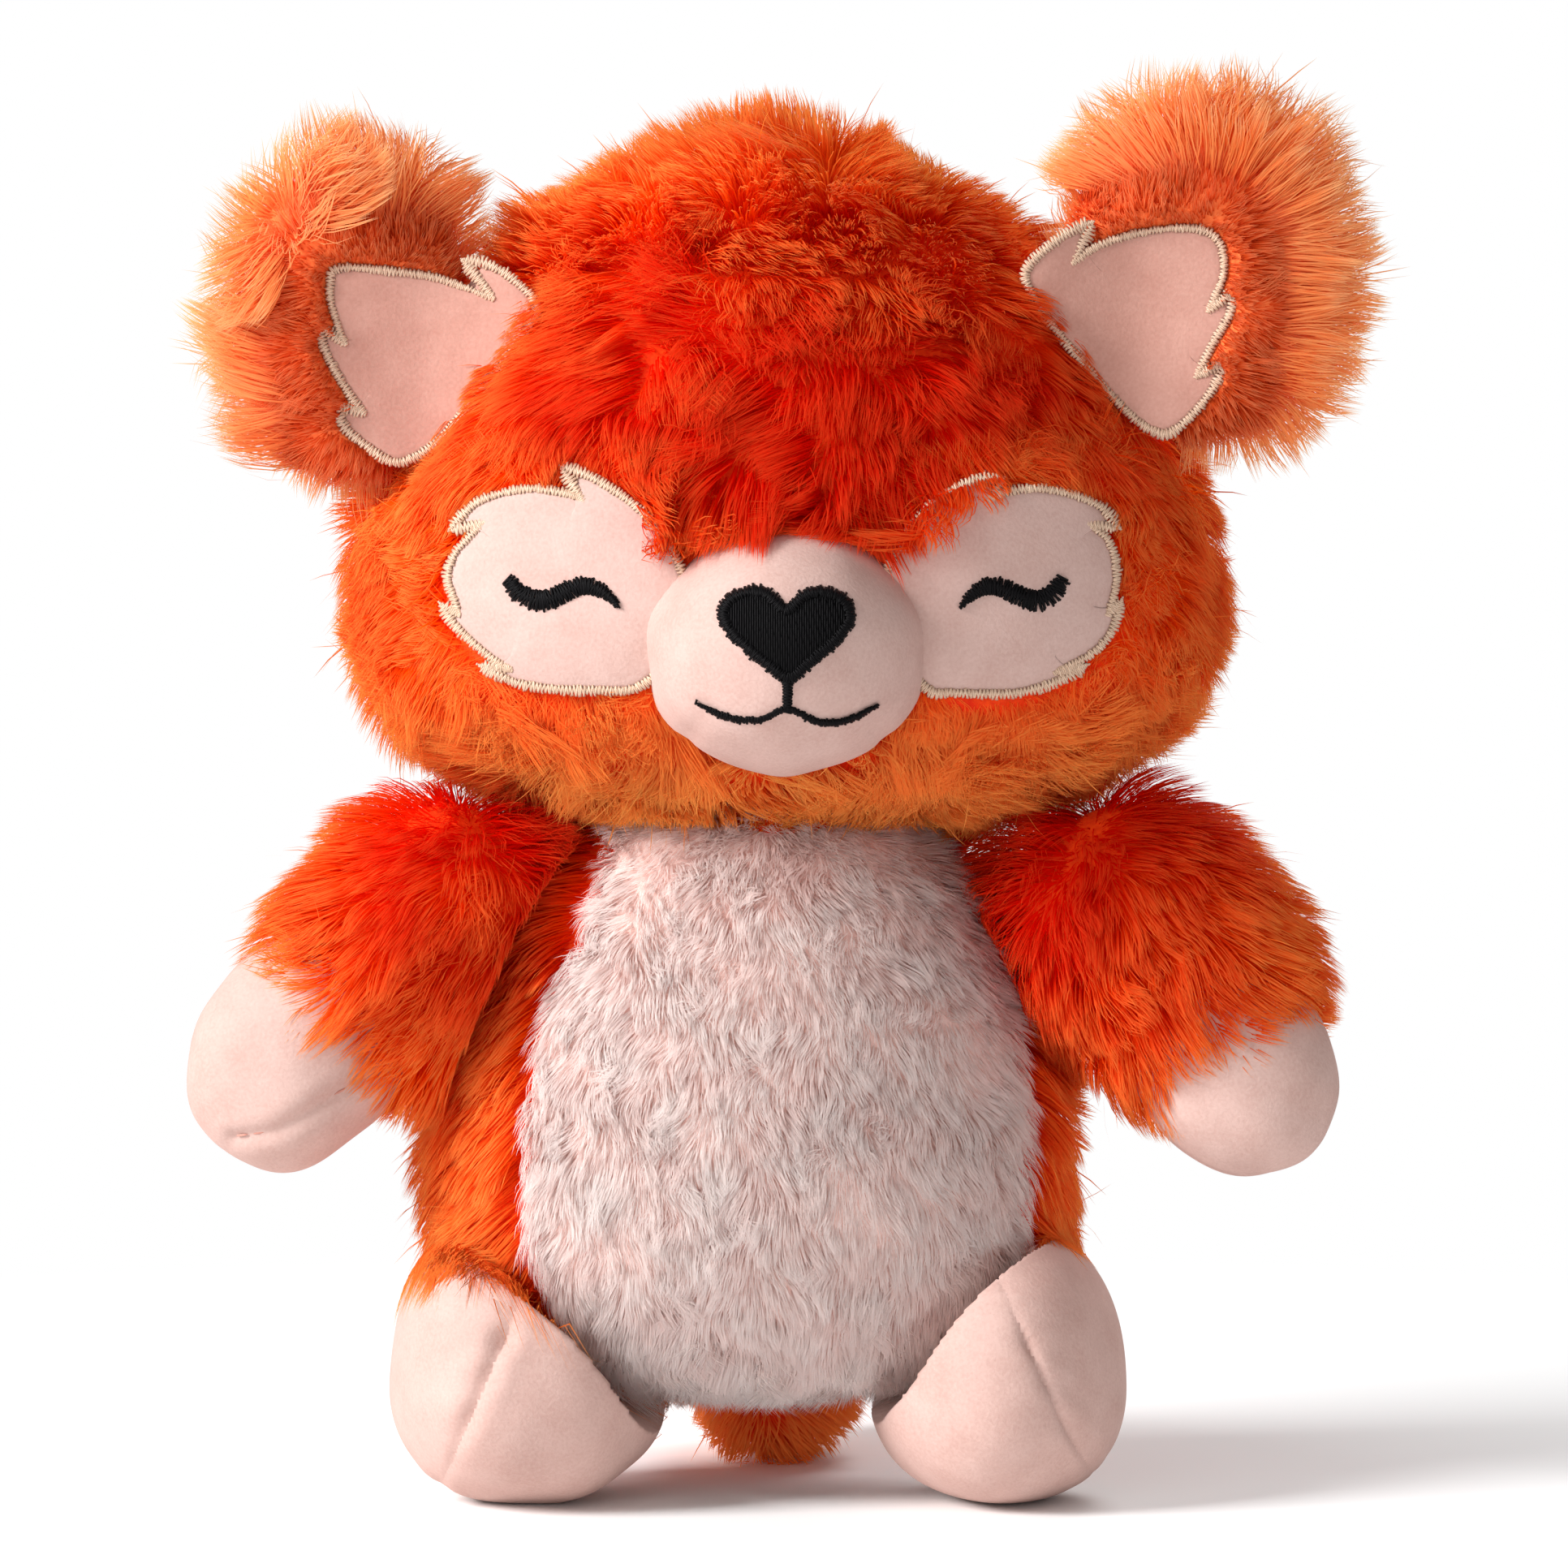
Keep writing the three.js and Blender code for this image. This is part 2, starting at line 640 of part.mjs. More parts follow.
const toy = new THREE.Group();
toy.add(
  meshFrom('body_shell', bodyShell(), 'orange'),
  meshFrom('belly_panel', bellyPanel(), 'bellyPlush'),
  meshFrom('body_filling', bodyFilling(), 'filling'),
  meshFrom('squeaker_bulb', squeakerBulb(), 'squeakerPlastic'),
  meshFrom('squeaker_reed', squeakerReed(), 'squeakerPlastic'),
  meshFrom('neck_filling', neckBall(0), 'filling'),
  meshFrom('head_shell', headShell(), 'orange'),
  meshFrom('head_filling', headFilling(), 'filling'),
  ...facePieces(),
  ...earPieces(leftEar, 'left'),
  ...earPieces(rightEar, 'right'),
  ...armPieces(leftArm, 'left'),
  ...armPieces(rightArm, 'right'),
  ...legPieces(leftLeg, 'left'),
  ...legPieces(rightLeg, 'right'),
  ...tailPieces(),
);

const extent = new THREE.Box3().setFromObject(toy);
toy.position.set(-(extent.min.x + extent.max.x) / 2, -(extent.min.y + extent.max.y) / 2, 0);

const group = new THREE.Group();
group.add(toy);

export default group;
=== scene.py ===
"""A stuffed red panda toy: plush covers, velour panels, embroidery, filling and a squeaker."""

import logging
import math
from dataclasses import dataclass, field, replace
from enum import Enum
from typing import Callable, Iterable, Optional, Sequence

import bpy
import numpy as np
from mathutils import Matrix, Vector, kdtree


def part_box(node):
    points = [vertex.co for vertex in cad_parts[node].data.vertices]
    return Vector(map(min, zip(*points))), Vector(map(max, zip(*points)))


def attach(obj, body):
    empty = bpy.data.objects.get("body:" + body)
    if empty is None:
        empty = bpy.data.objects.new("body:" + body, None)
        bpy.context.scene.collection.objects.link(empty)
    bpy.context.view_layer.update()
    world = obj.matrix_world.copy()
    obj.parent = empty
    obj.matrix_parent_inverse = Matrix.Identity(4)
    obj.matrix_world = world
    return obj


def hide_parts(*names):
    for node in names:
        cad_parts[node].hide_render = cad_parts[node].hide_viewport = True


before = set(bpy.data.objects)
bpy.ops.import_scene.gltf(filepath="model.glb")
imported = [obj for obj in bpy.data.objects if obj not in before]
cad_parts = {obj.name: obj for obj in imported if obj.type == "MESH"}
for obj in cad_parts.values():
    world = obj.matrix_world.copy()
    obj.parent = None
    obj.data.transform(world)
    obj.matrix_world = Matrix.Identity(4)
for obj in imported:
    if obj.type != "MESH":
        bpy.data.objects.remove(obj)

log = logging.getLogger("toy")
Array = np.ndarray
Colour = tuple[float, float, float]
Point = tuple[float, float]
Place = tuple[float, float, float]
Faces = list[tuple[int, ...]]
Field = Callable[[Array], Array]
Lay = Callable[[Array, Array], Array]
Stitches = tuple[Array, Faces, Array]

METRE = 0.001
FAR = 1e9
NECK = (-3.0, 2.0, 140.0)
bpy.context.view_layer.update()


def frame_shift() -> Array:
    """Returns where the toy's own zero lies in the frame, in millimetres."""
    low, high = (np.array(corner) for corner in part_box("neck_filling"))
    return (low + high) / 2 / METRE - np.array(NECK)


SHIFT = frame_shift()


# Numbers

def unit(vectors: Array) -> Array:
    """Returns each vector at length 1."""
    return vectors / np.maximum(np.linalg.norm(vectors, axis=-1, keepdims=True), 1e-9)


def smooth_step(values: Array, low: float, high: float) -> Array:
    """Returns 0 below low, 1 above high and a smooth rise between them."""
    share = np.clip((values - low) / (high - low), 0, 1)
    return share * share * (3 - 2 * share)


def wander(points: Array, scale: float, seed: int, waves: int = 7) -> Array:
    """A smooth random vector field.

    Args:
        points: where it is read, in millimetres.
        scale: the size of its swirls, in millimetres.
        seed: which field.
        waves: how many waves it adds up.
    Returns:
        One vector a point, about 1 long.
    """
    rng = np.random.default_rng(seed)
    found = np.zeros((len(points), 3))
    for _ in range(waves):
        way = unit(rng.normal(size=3)) * rng.uniform(0.6, 1.5) * 2 * math.pi / scale
        phase = rng.uniform(0, 2 * math.pi, 3)
        found += np.sin((points @ way)[:, None] + phase)
    return found * math.sqrt(2 / (3 * waves))


def linear(red: int, green: int, blue: int) -> Colour:
    """Returns a screen colour of 0 to 255 as a linear colour."""
    def one(value: int) -> float:
        """Turns one channel."""
        share = value / 255
        return share / 12.92 if share <= 0.04045 else ((share + 0.055) / 1.055) ** 2.4
    return one(red), one(green), one(blue)


def turn_about(axis: Sequence[float], degrees: float) -> Array:
    """Returns the matrix of a right-handed turn about an axis."""
    x, y, z = unit(np.array(axis, float))
    c, s = math.cos(math.radians(degrees)), math.sin(math.radians(degrees))
    cross = np.array([[0, -z, y], [z, 0, -x], [-y, x, 0]])
    return np.eye(3) * c + s * cross + (1 - c) * np.outer([x, y, z], [x, y, z])


def inside_outline(points: Array, outline: Array) -> Array:
    """Returns which 2-D points lie inside a closed outline."""
    x, z = points[:, 0], points[:, 1]
    inside = np.zeros(len(points), bool)
    for a, b in zip(outline, np.roll(outline, -1, axis=0)):
        crosses = (a[1] > z) != (b[1] > z)
        at = (b[0] - a[0]) * (z - a[1]) / (b[1] - a[1] + 1e-12) + a[0]
        inside ^= crosses & (x < at)
    return inside


def outline_distance(points: Array, outline: Array) -> Array:
    """Returns the distance from each 2-D point to a closed outline."""
    best = np.full(len(points), FAR)
    for a, b in zip(outline, np.roll(outline, -1, axis=0)):
        along = b - a
        share = np.clip(((points - a) @ along) / max(along @ along, 1e-12), 0, 1)
        best = np.minimum(best, np.linalg.norm(points - a - share[:, None] * along, axis=1))
    return best


def gap_from(points: Array, outline: Array) -> Array:
    """Returns how far 2-D points lie outside a closed outline."""
    return np.where(inside_outline(points, outline), 0, outline_distance(points, outline))


def even(value: float) -> Field:
    """Returns the field that is the same everywhere."""
    return lambda points: np.full(len(points), value)


def curve_through(points: Sequence[Sequence[float]], step: float, closed: bool) -> Array:
    """A smooth line through points.

    Args:
        points: the points that it passes.
        step: the distance between the points returned.
        closed: whether it ends where it begins.
    Returns:
        Points at even steps; a closed line's last point isn't its first again.
    """
    p = np.array(points, float)
    spans = len(p) if closed else len(p) - 1
    if closed:
        p = np.vstack([p[-1:], p, p[:2]])
    else:
        p = np.vstack([2 * p[0] - p[1], p, 2 * p[-1] - p[-2]])
    t = np.linspace(0, 1, 24, endpoint=False)[:, None]
    fine = []
    for i in range(spans):
        a, b, c, d = p[i:i + 4]
        fine.append(0.5 * (2 * b + (c - a) * t + (2 * a - 5 * b + 4 * c - d) * t ** 2
                           + (3 * b - a - 3 * c + d) * t ** 3))
    fine.append(p[-2:-1] if not closed else p[1:2])
    line = np.vstack(fine)
    run = np.concatenate([[0], np.cumsum(np.linalg.norm(np.diff(line, axis=0), axis=1))])
    count = max(int(round(run[-1] / step)), 4)
    at = np.linspace(0, run[-1], count + 1)
    even = np.stack([np.interp(at, run, line[:, i]) for i in range(line.shape[1])], axis=1)
    return even[:-1] if closed else even


# Forms

@dataclass(frozen=True)
class Egg:
    """A stuffed form in millimetres: an ellipse in plan, rounded above and below its widest height."""

    x: float
    y: float
    z: float
    half_width: float
    half_depth: float
    above: float
    below: float
    full_above: float = 2.0
    full_below: float = 2.0
    lean: float = 0.0
    forward: float = 0.0
    side: int = 0
    lift: float = 0.0

    @property
    def centre(self) -> Array:
        """Returns the middle of its widest height."""
        return np.array([self.x, self.y, self.z])

    @property
    def turn(self) -> Array:
        """Returns the matrix that tilts it from upright."""
        upright = turn_about((1, 0, 0), self.lift) if self.lift else np.eye(3)
        return turn_about((0, 1, 0), -self.side * self.lean) @ turn_about((1, 0, 0), -self.forward) @ upright

    def grown(self, by: float) -> "Egg":
        """Returns the same form, larger by a thickness all round."""
        return replace(self, half_width=self.half_width + by, half_depth=self.half_depth + by,
                       above=self.above + by, below=self.below + by)

    def _parts(self, points: Array) -> tuple[Array, Array, Array, Array, Array]:
        """Returns local points, plan radius, height share, reach and fullness."""
        local = (points - self.centre) @ self.turn
        radius = np.hypot(local[:, 0] / self.half_width, local[:, 1] / self.half_depth)
        up = local[:, 2] >= 0
        reach = np.where(up, self.above, self.below)
        full = np.where(up, self.full_above, self.full_below)
        return local, radius, np.abs(local[:, 2]) / reach, reach, full

    def level(self, points: Array) -> Array:
        """Returns under 1 inside the form, 1 on it and over 1 outside."""
        _, radius, height, _, full = self._parts(points)
        return (radius ** full + height ** full) ** (1 / full)

    def normal(self, points: Array) -> Array:
        """Returns the outward direction at points near the surface."""
        local, radius, height, reach, full = self._parts(points)
        radius = np.maximum(radius, 1e-6)
        across = radius ** (full - 2)
        grad = np.stack([across * local[:, 0] / self.half_width ** 2,
                         across * local[:, 1] / self.half_depth ** 2,
                         height ** (full - 1) * np.sign(local[:, 2]) / reach], axis=1)
        return unit(grad) @ self.turn.T

    def grid(self, sides: int, rings: int) -> tuple[Array, Faces]:
        """Its surface as a mesh.

        Args:
            sides: faces round it.
            rings: faces from end to end.
        Returns:
            Points, and faces of three or four of them.
        """
        angle = (np.arange(1, rings) / rings - 0.5) * math.pi
        up = angle >= 0
        power = 2 / np.where(up, self.full_above, self.full_below)
        radius = np.cos(angle) ** power
        height = np.sign(angle) * np.abs(np.sin(angle)) ** power * np.where(up, self.above, self.below)
        turn = np.arange(sides) / sides * 2 * math.pi
        x = radius[:, None] * np.cos(turn) * self.half_width
        y = radius[:, None] * np.sin(turn) * self.half_depth
        z = np.repeat(height[:, None], sides, axis=1)
        between = np.stack([x, y, z], axis=2).reshape(-1, 3)
        local = np.vstack([[0, 0, -self.below], between, [0, 0, self.above]])
        faces: Faces = []
        for j in range(sides):
            k = (j + 1) % sides
            faces.append((0, 1 + k, 1 + j))
            for i in range(rings - 2):
                low, high = 1 + i * sides, 1 + (i + 1) * sides
                faces.append((low + j, low + k, high + k, high + j))
            last = 1 + (rings - 2) * sides
            faces.append((last + j, last + k, len(local) - 1))
        return local @ self.turn.T + self.centre, faces

    def sample(self, density: float, rng: np.random.Generator) -> Array:
        """Returns points spread evenly over the surface, so many to a square millimetre."""
        points, faces = self.grid(72, 48)
        triangles = np.array([f[:3] for f in faces] + [(f[0], f[2], f[3]) for f in faces if len(f) == 4])
        a, b, c = (points[triangles[:, i]] for i in range(3))
        area = np.linalg.norm(np.cross(b - a, c - a), axis=1) / 2
        count = int(area.sum() * density)
        pick = rng.choice(len(area), count, p=area / area.sum())
        u, v = rng.random(count), rng.random(count)
        u, v = np.where(u + v > 1, 1 - u, u), np.where(u + v > 1, 1 - v, v)
        return a[pick] + u[:, None] * (b - a)[pick] + v[:, None] * (c - a)[pick]

    def front(self, flat: Array, lift: float | Array) -> Array:
        """Lays points seen from the front on an upright form.

        Args:
            flat: x and z of each point.
            lift: the height over the surface.
        Returns:
            The points in space.
        """
        up = flat[:, 1] >= self.z
        reach = np.where(up, self.above, self.below) + lift
        full = np.where(up, self.full_above, self.full_below)
        height = np.clip(np.abs(flat[:, 1] - self.z) / reach, 0, 0.999)
        radius = (1 - height ** full) ** (1 / full)
        across = np.clip(np.abs(flat[:, 0] - self.x) / (self.half_width + lift), 0, radius * 0.999)
        y = self.y - (self.half_depth + lift) * np.sqrt(radius ** 2 - across ** 2)
        return np.stack([flat[:, 0], y, flat[:, 1]], axis=1)


@dataclass(frozen=True)
class Swing:
    """What a limb has to stay clear of while it turns about its seam."""

    obstacle: Egg
    hinge: Place
    axis: Place
    low: float
    high: float

    def level(self, points: Array) -> Array:
        """Returns the obstacle's least level over the whole swing."""
        least = np.full(len(points), FAR)
        for degrees in np.linspace(self.low, self.high, 7):
            turned = (points - self.hinge) @ turn_about(self.axis, degrees).T + self.hinge
            least = np.minimum(least, self.obstacle.level(turned))
        return least


def pull_clear(points: Array, centre: Array, swings: Iterable[Swing]) -> Array:
    """Draws points towards a centre until they are clear of the swings."""
    made = points.copy()
    for swing in swings:
        hit = swing.level(made) < 1
        if not hit.any():
            continue
        near, far = np.zeros(hit.sum()), np.ones(hit.sum())
        for _ in range(12):
            middle = (near + far) / 2
            clear = swing.level(centre + (made[hit] - centre) * middle[:, None]) >= 1
            near, far = np.where(clear, middle, near), np.where(clear, far, middle)
        made[hit] = centre + (made[hit] - centre) * near[:, None]
    return made


# Meshes

def new_object(name: str, data: bpy.types.ID) -> bpy.types.Object:
    """Adds a mesh, a light or a camera to the scene."""
    made = bpy.data.objects.new(name, data)
    bpy.context.collection.objects.link(made)
    return made


def to_frame(points: Array) -> Array:
    """Returns points of the toy in the frame's metres."""
    return (points + SHIFT) * METRE


def surface(name: str, points: Array, faces: Sequence[Sequence[int]],
            material: bpy.types.Material) -> bpy.types.Object:
    """A smooth-shaded piece.

    Args:
        name: the piece's name.
        points: its corners, in millimetres.
        faces: its faces.
        material: its finish.
    Returns:
        The piece.
    """
    mesh = bpy.data.meshes.new(name)
    mesh.from_pydata([tuple(p) for p in to_frame(points)], [], [tuple(int(i) for i in f) for f in faces])
    mesh.shade_smooth()
    mesh.materials.append(material)
    return new_object(name, mesh)


def only(points: Array, faces: Faces) -> tuple[Array, Faces]:
    """Returns the points that faces use, and the faces with their corners numbered anew."""
    used = np.unique([i for face in faces for i in face])
    index = {int(old): new for new, old in enumerate(used)}
    return points[used], [tuple(index[int(i)] for i in face) for face in faces]


def tube(rings: int, sides: int) -> Faces:
    """Returns the faces round a tube of points, its ends left open."""
    return [(i * sides + j, (i + 1) * sides + j, (i + 1) * sides + (j + 1) % sides, i * sides + (j + 1) % sides)
            for i in range(rings - 1) for j in range(sides)]


def set_attribute(mesh: bpy.types.Mesh, name: str, values: Array) -> None:
    """Stores one number for each corner of a mesh."""
    mesh.attributes.new(name, "FLOAT", "POINT").data.foreach_set("value", values.astype(np.float32))


# Finishes

class Nodes:
    """Places and joins the nodes of one tree."""

    def __init__(self, tree: bpy.types.NodeTree) -> None:
        """Keeps the tree."""
        self.tree = tree

    def add(self, kind: str, **settings: object) -> bpy.types.Node:
        """Adds a node and sets its properties."""
        node = self.tree.nodes.new(kind)
        for name, value in settings.items():
            setattr(node, name, value)
        return node

    def link(self, source: bpy.types.NodeSocket, target: bpy.types.NodeSocket) -> None:
        """Joins two sockets."""
        self.tree.links.new(source, target)

    def attribute(self, name: str) -> bpy.types.NodeSocket:
        """Returns a number that the mesh carries."""
        return self.add("ShaderNodeAttribute", attribute_name=name).outputs["Fac"]

    def math(self, operation: str, a: object, b: object = 0.0, clamp: bool = False) -> bpy.types.NodeSocket:
        """Returns the result of a sum of two sockets or numbers."""
        node = self.add("ShaderNodeMath", operation=operation, use_clamp=clamp)
        for value, socket in zip((a, b), node.inputs):
            self.feed(value, socket)
        return node.outputs[0]

    def feed(self, value: object, socket: bpy.types.NodeSocket) -> None:
        """Gives a socket a link, a number or a colour."""
        if isinstance(value, bpy.types.NodeSocket):
            self.link(value, socket)
        elif isinstance(value, tuple):
            socket.default_value = (*value, 1.0)
        else:
            socket.default_value = value

    def mix(self, share: object, a: object, b: object) -> bpy.types.NodeSocket:
        """Returns a blend of two colours."""
        node = self.add("ShaderNodeMix", data_type="RGBA", blend_type="MIX")
        self.feed(share, node.inputs["Factor"])
        self.feed(a, node.inputs[6])
        self.feed(b, node.inputs[7])
        return node.outputs[2]

    def values(self, node: bpy.types.Node, **inputs: object) -> bpy.types.Node:
        """Feeds a node's inputs and returns it; spaces in their names are underscores here."""
        for name, value in inputs.items():
            self.feed(value, node.inputs[name.replace("_", " ")])
        return node

    def noise(self, scale: object, **settings: float) -> bpy.types.NodeSocket:
        """Returns a noise with so many lumps to the metre."""
        place = self.add("ShaderNodeTexCoord").outputs["Object"]
        node = self.values(self.add("ShaderNodeTexNoise"), Vector=place, Scale=scale, **settings)
        return node.outputs["Fac"]

    def lumps(self, size: float, detail: float = 3.0) -> bpy.types.NodeSocket:
        """Returns a noise whose lumps are about that many millimetres across."""
        return self.noise(1 / (size * METRE), Detail=detail, Roughness=0.55)

    def spread(self, value: bpy.types.NodeSocket, low: float, high: float) -> bpy.types.NodeSocket:
        """Returns a value stretched so that low becomes 0 and high 1."""
        node = self.values(self.add("ShaderNodeMapRange"), Value=value, From_Min=low, From_Max=high)
        return node.outputs["Result"]

    def bump(self, height: bpy.types.NodeSocket, strength: float, depth: float) -> bpy.types.NodeSocket:
        """Returns the normal of a relief so many millimetres deep."""
        node = self.values(self.add("ShaderNodeBump"), Strength=strength, Distance=depth * METRE, Height=height)
        return node.outputs["Normal"]

    def blend(self, share: object, first: bpy.types.Node, second: bpy.types.Node) -> None:
        """Leads two shaders, mixed by a share, to the surface."""
        both = self.add("ShaderNodeMixShader")
        for value, socket in zip((share, first.outputs[0], second.outputs[0]), both.inputs):
            self.feed(value, socket)
        self.link(both.outputs[0], self.tree.nodes["Material Output"].inputs["Surface"])

    def group(self, group: bpy.types.NodeTree, **inputs: object) -> bpy.types.Node:
        """Places a shared group and feeds its inputs."""
        return self.values(self.add("ShaderNodeGroup", node_tree=group), **inputs)


class Effects:
    """The shared effects: pile tint and nap grain."""

    def __init__(self) -> None:
        """Makes the groups."""
        self.pile_tint = self._pile_tint()
        self.nap_grain = self._nap_grain()

    @staticmethod
    def _group(name: str, inputs: dict[str, str], outputs: dict[str, str]) -> tuple[Nodes, object, object]:
        """Starts a group with named inputs and outputs and returns its nodes and both ends."""
        tree = bpy.data.node_groups.new(name, "ShaderNodeTree")
        for label, kind in inputs.items():
            tree.interface.new_socket(label, in_out="INPUT", socket_type=kind)
        for label, kind in outputs.items():
            tree.interface.new_socket(label, in_out="OUTPUT", socket_type=kind)
        nodes = Nodes(tree)
        return nodes, nodes.add("NodeGroupInput"), nodes.add("NodeGroupOutput")

    def _pile_tint(self) -> bpy.types.NodeTree:
        """Colours a strand from its root to its tip, redder or paler by tuft and by place; the pale tips are partly
        the pile's own colour and partly painted light.
        """
        colours = ["Root", "Deep", "Bright", "Tip"]
        nodes, given, made = self._group(
            "pile_tint",
            {**{c: "NodeSocketColor" for c in colours}, "Along": "NodeSocketFloat", "Tuft": "NodeSocketFloat",
             "Depth": "NodeSocketFloat", "Patch Size": "NodeSocketFloat"},
            {"Colour": "NodeSocketColor"})
        patchy = nodes.math("SUBTRACT", nodes.noise(given.outputs["Patch Size"], Detail=2.0), 0.5)
        tufty = nodes.math("SUBTRACT", given.outputs["Tuft"], 0.5)
        deep = nodes.math("ADD", given.outputs["Depth"], nodes.math("MULTIPLY", patchy, 1.7))
        deep = nodes.math("ADD", deep, nodes.math("MULTIPLY", tufty, 0.45), clamp=True)
        middle = nodes.mix(deep, given.outputs["Bright"], given.outputs["Deep"])
        rise = nodes.spread(given.outputs["Along"], 0.0, 0.45)
        low = nodes.mix(rise, given.outputs["Root"], middle)
        # Paler tips: partly the pile's own pale tips, partly painted light standing in for light shining through and
        # glinting on them.
        tip = nodes.math("POWER", nodes.spread(given.outputs["Along"], 0.42, 1.0), 1.3)
        tip = nodes.math("MULTIPLY", tip, nodes.math("SUBTRACT", 0.95, nodes.math("MULTIPLY", deep, 0.74)))
        # Negative depth pales the pile towards the tip colour; on the chin and the tail that is partly painted
        # light.
        pale = nodes.math("ADD", given.outputs["Depth"], nodes.math("MULTIPLY", patchy, 1.2))
        pale = nodes.math("MULTIPLY", nodes.math("MULTIPLY", pale, -0.7, clamp=True), rise)
        tip = nodes.math("MAXIMUM", tip, pale)
        nodes.link(nodes.mix(tip, low, given.outputs["Tip"]), made.inputs["Colour"])
        return nodes.tree

    def _nap_grain(self) -> bpy.types.NodeTree:
        """Fine mottled grain of short cloth: a colour, and a height for its bump."""
        nodes, given, made = self._group(
            "nap_grain",
            {"Light": "NodeSocketColor", "Shade": "NodeSocketColor", "Grain Scale": "NodeSocketFloat",
             "Cloud Scale": "NodeSocketFloat"},
            {"Colour": "NodeSocketColor", "Height": "NodeSocketFloat"})
        grain = nodes.noise(given.outputs["Grain Scale"], Detail=4.0)
        cloud = nodes.noise(given.outputs["Cloud Scale"], Detail=3.0)
        share = nodes.math("ADD", nodes.math("MULTIPLY", grain, 0.55), nodes.math("MULTIPLY", cloud, 0.6))
        share = nodes.spread(share, 0.38, 0.78)
        nodes.link(nodes.mix(share, given.outputs["Shade"], given.outputs["Light"]), made.inputs["Colour"])
        nodes.link(grain, made.inputs["Height"])
        return nodes.tree


@dataclass(frozen=True)
class PileFinish:
    """Strands of dyed pile, their pale tips partly painted light."""

    name: str
    root: Colour
    deep: Colour
    bright: Colour
    tip: Colour
    patch: float = 26.0
    roughness: float = 0.5
    sheen: float = 0.02
    specular: float = 0.05
    clear: float = 0.6

    def build(self, effects: Effects) -> bpy.types.Material:
        """Returns the material of the strands, which let some light through."""
        material, nodes, shader = new_material(self.name)
        tint = nodes.group(effects.pile_tint, Root=self.root, Deep=self.deep, Bright=self.bright, Tip=self.tip,
                           Along=nodes.attribute("along"), Tuft=nodes.attribute("tuft"),
                           Depth=nodes.attribute("depth"), Patch_Size=1 / (self.patch * METRE))
        colour = tint.outputs["Colour"]
        nodes.values(shader, Base_Color=colour, Roughness=self.roughness, Specular_IOR_Level=self.specular,
                     Sheen_Weight=self.sheen, Sheen_Tint=self.tip, Specular_Tint=self.tip)
        behind = nodes.values(nodes.add("ShaderNodeBsdfTranslucent"), Color=colour)
        nodes.blend(self.clear, shader, behind)
        return material


@dataclass(frozen=True)
class NapFinish:
    """Short napped cloth: velour, the cloth below the pile, filling fibre."""

    name: str
    light: Colour
    shade: Colour
    grain: float = 0.45
    cloud: float = 9.0
    bump: float = 0.45
    depth: float = 0.16
    roughness: float = 0.85
    sheen: float = 0.4

    def build(self, effects: Effects) -> bpy.types.Material:
        """Returns the material of the cloth."""
        material, nodes, shader = new_material(self.name)
        grain = nodes.group(effects.nap_grain, Light=self.light, Shade=self.shade,
                            Grain_Scale=1 / (self.grain * METRE), Cloud_Scale=1 / (self.cloud * METRE))
        normal = nodes.bump(grain.outputs["Height"], self.bump, self.depth)
        nodes.values(shader, Base_Color=grain.outputs["Colour"], Normal=normal, Roughness=self.roughness,
                     Specular_IOR_Level=0.2, Sheen_Weight=self.sheen, Sheen_Roughness=0.4,
                     Sheen_Tint=self.light)
        return material


@dataclass(frozen=True)
class ThreadFinish:
    """Satin-stitched thread, with a painted highlight along the crest of each stitch and painted shade where it dips
    into the cloth.
    """

    name: str
    crest_painted_highlight: Colour
    valley_painted_shade: Colour
    roughness: float = 0.42
    specular: float = 0.4
    sheen: float = 0.1

    def build(self, effects: Effects) -> bpy.types.Material:
        """Returns the material of the thread."""
        material, nodes, shader = new_material(self.name)
        # The stitch share, with a little random lumpiness, blends from the painted-shade colour to the
        # painted-highlight colour.
        stitch = nodes.math("ADD", nodes.math("MULTIPLY", nodes.attribute("stitch"), 0.75),
                            nodes.math("MULTIPLY", nodes.lumps(1.5), 0.4), clamp=True)
        fibre = nodes.lumps(0.16, 2.0)
        rough = nodes.math("ADD", nodes.math("MULTIPLY", fibre, 0.2), self.roughness - 0.1)
        nodes.values(shader, Base_Color=nodes.mix(stitch, self.valley_painted_shade, self.crest_painted_highlight), Roughness=rough,
                     Normal=nodes.bump(fibre, 0.35, 0.05), Specular_IOR_Level=self.specular,
                     Sheen_Weight=self.sheen)
        return material


@dataclass(frozen=True)
class PlasticFinish:
    """Thin blow-moulded plastic, slightly cloudy."""

    name: str
    light: Colour
    shade: Colour

    def build(self, effects: Effects) -> bpy.types.Material:
        """Returns the material of the squeaker."""
        material, nodes, shader = new_material(self.name)
        cloud = nodes.spread(nodes.lumps(7.0, 4.0), 0.35, 0.65)
        rough = nodes.math("ADD", nodes.math("MULTIPLY", cloud, 0.15), 0.35)
        nodes.values(shader, Base_Color=nodes.mix(cloud, self.shade, self.light), Roughness=rough,
                     Normal=nodes.bump(nodes.lumps(0.9, 2.0), 0.2, 0.1))
        return material


def new_material(name: str) -> tuple[bpy.types.Material, Nodes, bpy.types.Node]:
    """Returns a new material, its nodes and its shader."""
    material = bpy.data.materials.new(name)
    material.use_nodes = True
    nodes = Nodes(material.node_tree)
    return material, nodes, material.node_tree.nodes["Principled BSDF"]


